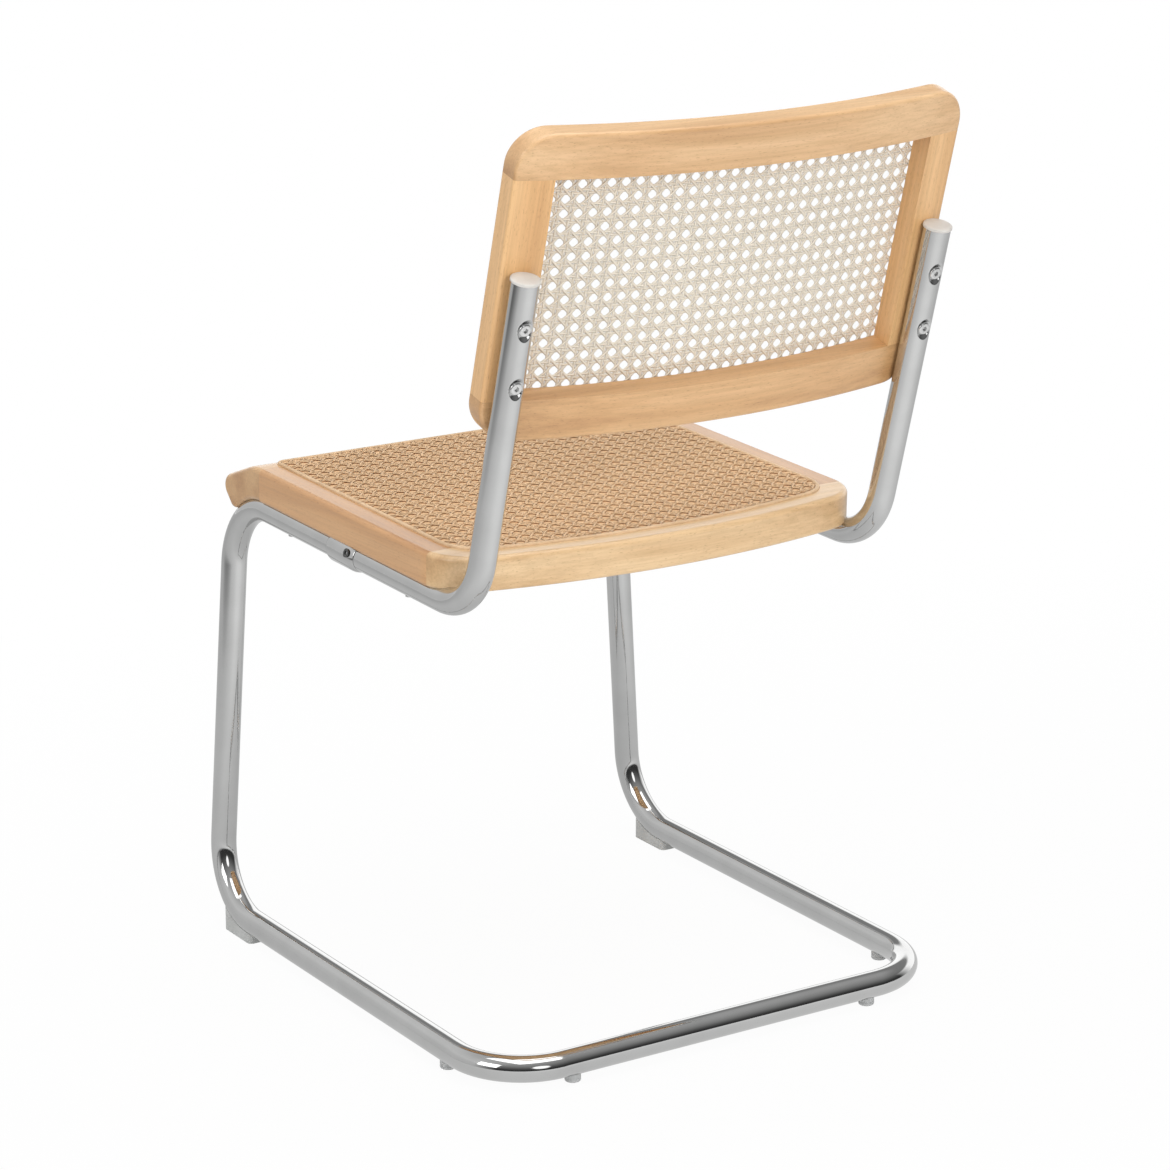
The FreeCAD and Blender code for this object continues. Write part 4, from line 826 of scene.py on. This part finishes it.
# Spline of the seat
# The same reed strip in a browner tone, glued into the groove round the seat's opening, over the edges of
# net and cane.


def seat_bead_place(u, v, rise):
    """Place on the top of the seat frame, raised by the thickness of the net."""
    return on_seat(u, v, SEAT_BEAD_RISE + rise)


seat_ring = filled(seat_ring_outline(RING_GROW), BEAD_STEP)
tan_reed = reed("tan_reed", (0.80, 0.58, 0.37), (0.68, 0.47, 0.28), 0.2)
seat_bead = bead(seat_ring, SPLINE_PROFILE, seat_bead_place)
add_piece("seat_spline_reed", seat_bead, tan_reed, ["seat_spline"], crease=50)

# Screws of the seat and the feet
# Zinc-plated steel screws: four go up through the tube rails into the side rails, one up through each foot.
# The CAD solids are shown.
for name in ("seat_screws", "foot_screws"):
    finish_node(name, zinc)

# Front feet
# Grey-white moulded plastic saddles under the front floor bends, each held by its screw. The CAD solids are
# shown, with a slightly cloudy plastic.
foot_plastic, tree, shader = new_material("grey_white_plastic")
set_inputs(shader, {"Specular IOR Level": 0.5})
place = object_place(tree)
cloudy = stretched_noise(tree, place, (60, 60, 60), 2.0)
mould = stretched_noise(tree, place, (1500, 1500, 1500), 2.0)
foot_tones = [(0.3, (0.52, 0.53, 0.52)), (0.7, (0.60, 0.61, 0.60))]
tree.links.new(ramp(tree, cloudy, foot_tones), shader.inputs["Base Color"])
tree.links.new(ranged(tree, mould, 0.3, 0.42), shader.inputs["Roughness"])
bumped(tree, shader, mould, 0.15, 0.0001)
for name in ("left_front_foot", "right_front_foot"):
    finish_node(name, foot_plastic)

# Glides
# Small clear plastic studs pushed into holes under the runners and the rear bar; the top of each is hollowed
# to fit the tube.
GLIDE_RUNNER_Y = RUNNER_REAR_Y - 85.0 * MM
GLIDE_BAR_X = 163.5 * MM
GLIDE_LOW = np.array([(0.0, 0.0), (5.6, 0.0), (6.6, 0.25), (7.2, 0.8), (7.5, 1.7)]) * MM
GLIDE_STEM = np.array([(3.0, 15.2), (2.4, 16.0), (0.0, 16.0)]) * MM
GLIDE_TOP = np.array([7.5, 7.5, 5.2, 3.0])[:, None] * MM
GLIDE_LIP = 0.6 * MM
GLIDE_SIDES = 40
rearward = np.array([0.0, 1.0, 0.0])


def glide(foot, sideways):
    """Stud turned about an upright axis: the top rings rise to the tube's underside, which is its axis height
    less the root of its radius squared less the distance sideways squared."""
    spokes = around(upward, GLIDE_SIDES)
    offset = GLIDE_TOP * (spokes @ sideways)[None]
    saddle = RUNNER_Z - FIT - np.sqrt(TUBE_OUTER ** 2 - offset ** 2)
    saddle[0] -= GLIDE_LIP
    low, stem = (np.repeat(rings[..., None], GLIDE_SIDES, axis=2) for rings in (GLIDE_LOW, GLIDE_STEM))
    radius = np.concatenate([low[:, 0], np.repeat(GLIDE_TOP, GLIDE_SIDES, axis=1), stem[:, 0]])
    height = np.concatenate([low[:, 1], saddle, stem[:, 1]])
    points, faces = turned_solid(radius, height, foot, upward, GLIDE_SIDES)
    return points, outward_faces(points - foot, faces)


clear_plastic, tree, shader = new_material("cloudy_clear_plastic")
set_inputs(shader, {"Transmission Weight": 0.35, "IOR": 1.49})
place = object_place(tree)
cloudy = stretched_noise(tree, place, (120, 120, 120), 2.0)
glide_tones = [(0.3, (0.58, 0.59, 0.59)), (0.7, (0.68, 0.69, 0.69))]
tree.links.new(ramp(tree, cloudy, glide_tones), shader.inputs["Base Color"])
tree.links.new(ranged(tree, cloudy, 0.2, 0.32), shader.inputs["Roughness"])
for side_name, side in SIDES.items():
    runner_foot = np.array([side * RUNNER_X, GLIDE_RUNNER_Y, 0.0])
    add_piece(side_name + "_runner_glide_clear", glide(runner_foot, across), clear_plastic,
              [side_name + "_runner_glide"], crease=50)
    bar_foot = np.array([side * GLIDE_BAR_X, RUNNER_REAR_Y, 0.0])
    add_piece(side_name + "_bar_glide_clear", glide(bar_foot, rearward), clear_plastic,
              [side_name + "_bar_glide"], crease=50)

# Studio
# A pale floor that reads as white and keeps a soft shadow, but shows in the chrome as a painted pool of light
# with painted shade; the room's walls for the chrome to mirror, which glow as painted reflections, dark behind
# the camera and light in front, with a painted glint where the rear lamp stands; and three large soft lamps.
# The camera stands behind the chair's left side.
FLOOR_RADIUS = 6.0
LIGHT_POOL = (-0.1, 1.0, 0.0)
CHAIR_MIDDLE = (0.0, -0.1, 0.0)
FLOOR_SIDES = 96
POOL_REACH = 5.0


def greys(*stops):
    """Stops of a ramp of greys, from pairs of position and brightness."""
    return [(position, (level, level, level)) for position, level in stops]


angle = np.linspace(0, 2 * np.pi, FLOOR_SIDES, endpoint=False)
floor_mesh = bpy.data.meshes.new("floor")
floor_points = FLOOR_RADIUS * np.stack([np.cos(angle), np.sin(angle), np.zeros(FLOOR_SIDES)], axis=1)
floor_mesh.from_pydata(floor_points.tolist(), [], [list(range(FLOOR_SIDES))])
floor = bpy.data.objects.new("floor", floor_mesh)
bpy.context.scene.collection.objects.link(floor)

floor_paint, tree, shader = new_material("pale_floor")
set_inputs(shader, {"Base Color": (0.8, 0.8, 0.8, 1.0), "Roughness": 0.9, "Specular IOR Level": 0.0})
output = tree.nodes["Material Output"]
path = tree.nodes.new("ShaderNodeLightPath")
glow = tree.nodes.new("ShaderNodeEmission")
set_inputs(glow, {"Color": (1.0, 1.0, 1.0, 1.0), "Strength": 1.0})
away = tree.nodes.new("ShaderNodeVectorMath")
away.operation = "DISTANCE"
away.inputs[1].default_value = LIGHT_POOL
tree.links.new(object_place(tree), away.inputs[0])
reach = tree.nodes.new("ShaderNodeMapRange")
set_inputs(reach, {"From Min": 0.0, "From Max": POOL_REACH, "To Min": 0.0, "To Max": 1.0})
tree.links.new(away.outputs["Value"], reach.inputs["Value"])
share = ramp(tree, reach.outputs["Result"], greys((0.2, 0.95), (0.45, 1.0)))
# In reflections the floor glows as a painted pool of light round LIGHT_POOL, fading outwards.
painted_light_pool = tree.nodes.new("ShaderNodeEmission")
painted_pool_falloff = ramp(tree, reach.outputs["Result"],
              greys((0.0, 1.0), (0.08, 0.95), (0.16, 0.82), (0.32, 0.66), (0.6, 0.55)))
# Painted shade on a patch of floor to the left front of the chair, seen only in reflections.
floor_split = tree.nodes.new("ShaderNodeSeparateXYZ")
tree.links.new(object_place(tree), floor_split.inputs["Vector"])
edges = []
for axis, low, high in (("X", 1.35, 2.2), ("Y", -2.2, -1.3)):
    edge = tree.nodes.new("ShaderNodeMapRange")
    set_inputs(edge, {"From Min": low, "From Max": high, "To Min": 0.0, "To Max": 1.0})
    tree.links.new(floor_split.outputs[axis], edge.inputs["Value"])
    edges.append(edge.outputs["Result"])
dark_patch_mask = tree.nodes.new("ShaderNodeMath")
dark_patch_mask.operation = "MULTIPLY"
tree.links.new(edges[0], dark_patch_mask.inputs[0])
tree.links.new(edges[1], dark_patch_mask.inputs[1])
painted_dark_patch = ramp(tree, dark_patch_mask.outputs["Value"], greys((0.0, 1.0), (1.0, 0.3)))
# Painted shadow of the chair on the floor, darkest under its middle, seen only in reflections.
under = tree.nodes.new("ShaderNodeVectorMath")
under.operation = "DISTANCE"
under.inputs[1].default_value = CHAIR_MIDDLE
tree.links.new(object_place(tree), under.inputs[0])
shade = ramp(tree, under.outputs["Value"], greys((0.25, 0.83), (0.7, 1.0)))
lit = mixed(tree, "MULTIPLY", 1.0, painted_pool_falloff, painted_dark_patch)
tree.links.new(mixed(tree, "MULTIPLY", 1.0, lit, shade), painted_light_pool.inputs["Color"])
to_camera = tree.nodes.new("ShaderNodeMixShader")
tree.links.new(share, to_camera.inputs["Fac"])
tree.links.new(shader.outputs["BSDF"], to_camera.inputs[1])
tree.links.new(glow.outputs["Emission"], to_camera.inputs[2])
in_metal = tree.nodes.new("ShaderNodeMixShader")
tree.links.new(path.outputs["Is Glossy Ray"], in_metal.inputs["Fac"])
tree.links.new(shader.outputs["BSDF"], in_metal.inputs[1])
tree.links.new(painted_light_pool.outputs["Emission"], in_metal.inputs[2])
blend = tree.nodes.new("ShaderNodeMixShader")
tree.links.new(path.outputs["Is Camera Ray"], blend.inputs["Fac"])
tree.links.new(in_metal.outputs["Shader"], blend.inputs[1])
tree.links.new(to_camera.outputs["Shader"], blend.inputs[2])
tree.links.new(blend.outputs["Shader"], output.inputs["Surface"])
floor_mesh.materials.append(floor_paint)

ROOM_RADIUS = 7.0
# Middle, radius and soft edge of a painted glint of the rear lamp on the walls.
REAR_LAMP_GLINT_MIDDLE = (0.88, 6.32, 2.86)
REAR_LAMP_GLINT_RADIUS = 1.1
REAR_LAMP_GLINT_EDGE = 0.3
ROOM_SIDES = 64
ROOM_RINGS = 24
ROOM_TOP = np.radians(88)
turn, rise = np.meshgrid(np.linspace(0, 2 * np.pi, ROOM_SIDES, endpoint=False),
                         np.linspace(0.0, ROOM_TOP, ROOM_RINGS))
room_points = ROOM_RADIUS * np.stack([np.cos(rise) * np.cos(turn), np.cos(rise) * np.sin(turn),
                                      np.sin(rise)], axis=-1)
room_mesh = bpy.data.meshes.new("room")
room_faces = grid_faces(ROOM_RINGS, ROOM_SIDES, False)
room_mesh.from_pydata(room_points.reshape(-1, 3).tolist(), [], room_faces.tolist())
room = bpy.data.objects.new("room", room_mesh)
bpy.context.scene.collection.objects.link(room)
room.visible_camera = False
room.visible_diffuse = False
room.visible_transmission = False
room.visible_shadow = False
# The walls glow and are seen only in reflections: painted reflections of a room, dark behind the camera and
# light in front.
room_paint, tree, shader = new_material("room_walls")
split = tree.nodes.new("ShaderNodeSeparateXYZ")
tree.links.new(object_place(tree), split.inputs["Vector"])
levels = []
for axis, low, high in (("Z", 0.0, ROOM_RADIUS), ("Y", -0.5, 3.0), ("X", -1.2, 0.4)):
    level = tree.nodes.new("ShaderNodeMapRange")
    set_inputs(level, {"From Min": low, "From Max": high, "To Min": 0.0, "To Max": 1.0})
    tree.links.new(split.outputs[axis], level.inputs["Value"])
    levels.append(level.outputs["Result"])
dark_end = ramp(tree, levels[0], greys((0.0, 0.04), (0.19, 0.05), (0.39, 0.14), (0.7, 0.34), (1.0, 0.5)))
light_left = ramp(tree, levels[0], greys((0.0, 0.64), (0.3, 0.67), (0.5, 0.76), (0.75, 0.7), (1.0, 0.5)))
light_right = ramp(tree, levels[0],
                   greys((0.0, 1.4), (0.39, 1.4), (0.46, 0.28), (0.65, 0.28), (0.8, 0.45), (1.0, 0.5)))
light_end = mixed(tree, "MIX", levels[2], light_right, light_left)
walls = mixed(tree, "MIX", levels[1], light_end, dark_end)
# Painted glint of the rear lamp: a bright round patch where the lamp stands, in place of the lamp's own
# reflection.
from_rear_lamp_glint = tree.nodes.new("ShaderNodeVectorMath")
from_rear_lamp_glint.operation = "DISTANCE"
from_rear_lamp_glint.inputs[1].default_value = REAR_LAMP_GLINT_MIDDLE
tree.links.new(object_place(tree), from_rear_lamp_glint.inputs[0])
glint_patch = tree.nodes.new("ShaderNodeMapRange")
set_inputs(glint_patch, {"From Min": REAR_LAMP_GLINT_RADIUS + REAR_LAMP_GLINT_EDGE, "From Max": REAR_LAMP_GLINT_RADIUS,
                  "To Min": 0.0, "To Max": 1.0})
tree.links.new(from_rear_lamp_glint.outputs["Value"], glint_patch.inputs["Value"])
rear_lamp_glint = ramp(tree, glint_patch.outputs["Result"], greys((0.0, 0.0), (1.0, 1.5)))
wall = tree.nodes.new("ShaderNodeEmission")
tree.links.new(mixed(tree, "ADD", 1.0, walls, rear_lamp_glint), wall.inputs["Color"])
tree.links.new(wall.outputs["Emission"], tree.nodes["Material Output"].inputs["Surface"])
room_mesh.materials.append(room_paint)

FILL_LIGHT = 0.55
world = bpy.data.worlds.new("studio")
world.use_nodes = True
bpy.context.scene.world = world
tree = world.node_tree
tree.nodes.clear()
path = tree.nodes.new("ShaderNodeLightPath")
white = tree.nodes.new("ShaderNodeBackground")
set_inputs(white, {"Color": (1.0, 1.0, 1.0, 1.0), "Strength": 1.0})
fill = tree.nodes.new("ShaderNodeBackground")
set_inputs(fill, {"Color": (1.0, 1.0, 1.0, 1.0), "Strength": FILL_LIGHT})
plain = path.outputs["Is Camera Ray"]
for kind in ("Is Glossy Ray", "Is Transmission Ray"):
    either = tree.nodes.new("ShaderNodeMath")
    either.operation = "MAXIMUM"
    tree.links.new(plain, either.inputs[0])
    tree.links.new(path.outputs[kind], either.inputs[1])
    plain = either.outputs["Value"]
shown = tree.nodes.new("ShaderNodeMixShader")
tree.links.new(plain, shown.inputs["Fac"])
tree.links.new(fill.outputs["Background"], shown.inputs[1])
tree.links.new(white.outputs["Background"], shown.inputs[2])
world_output = tree.nodes.new("ShaderNodeOutputWorld")
tree.links.new(shown.outputs["Shader"], world_output.inputs["Surface"])

LAMPS = {"lamp_above": ((0.0, 0.4, 3.2), (0.0, 0.0, 0.4), 2.6, 40.0, True),
         "lamp_left": ((3.2, 0.8, 1.9), (0.0, 0.0, 0.5), 1.6, 20.0, True),
         "lamp_rear": ((0.5, 3.6, 1.8), (0.0, 0.0, 0.5), 1.4, 46.0, False)}
for name, (place, aim, size, power, mirrored) in LAMPS.items():
    lamp_data = bpy.data.lights.new(name, "AREA")
    lamp_data.shape = "SQUARE"
    lamp_data.size = size
    lamp_data.energy = power
    lamp = bpy.data.objects.new(name, lamp_data)
    lamp.visible_glossy = mirrored
    lamp.location = place
    lamp.rotation_euler = (Vector(aim) - Vector(place)).to_track_quat("-Z", "Y").to_euler()
    bpy.context.scene.collection.objects.link(lamp)

CAMERA_LENS = 118.5
CAMERA_SENSOR = 36.0
CAMERA_REACH = 50.0
camera_data = bpy.data.cameras.new("camera")
camera_data.lens = CAMERA_LENS
camera_data.sensor_width = CAMERA_SENSOR
camera_data.clip_end = CAMERA_REACH
camera = bpy.data.objects.new("camera", camera_data)
eye = Vector((1.8776, 2.9213, 1.3968))
aim = Vector((0.00104, 0.01011, 0.3787))
camera.location = eye
camera.rotation_euler = (aim - eye).to_track_quat("-Z", "Y").to_euler()
bpy.context.scene.collection.objects.link(camera)
bpy.context.scene.camera = camera
bpy.context.scene.view_settings.view_transform = "Standard"
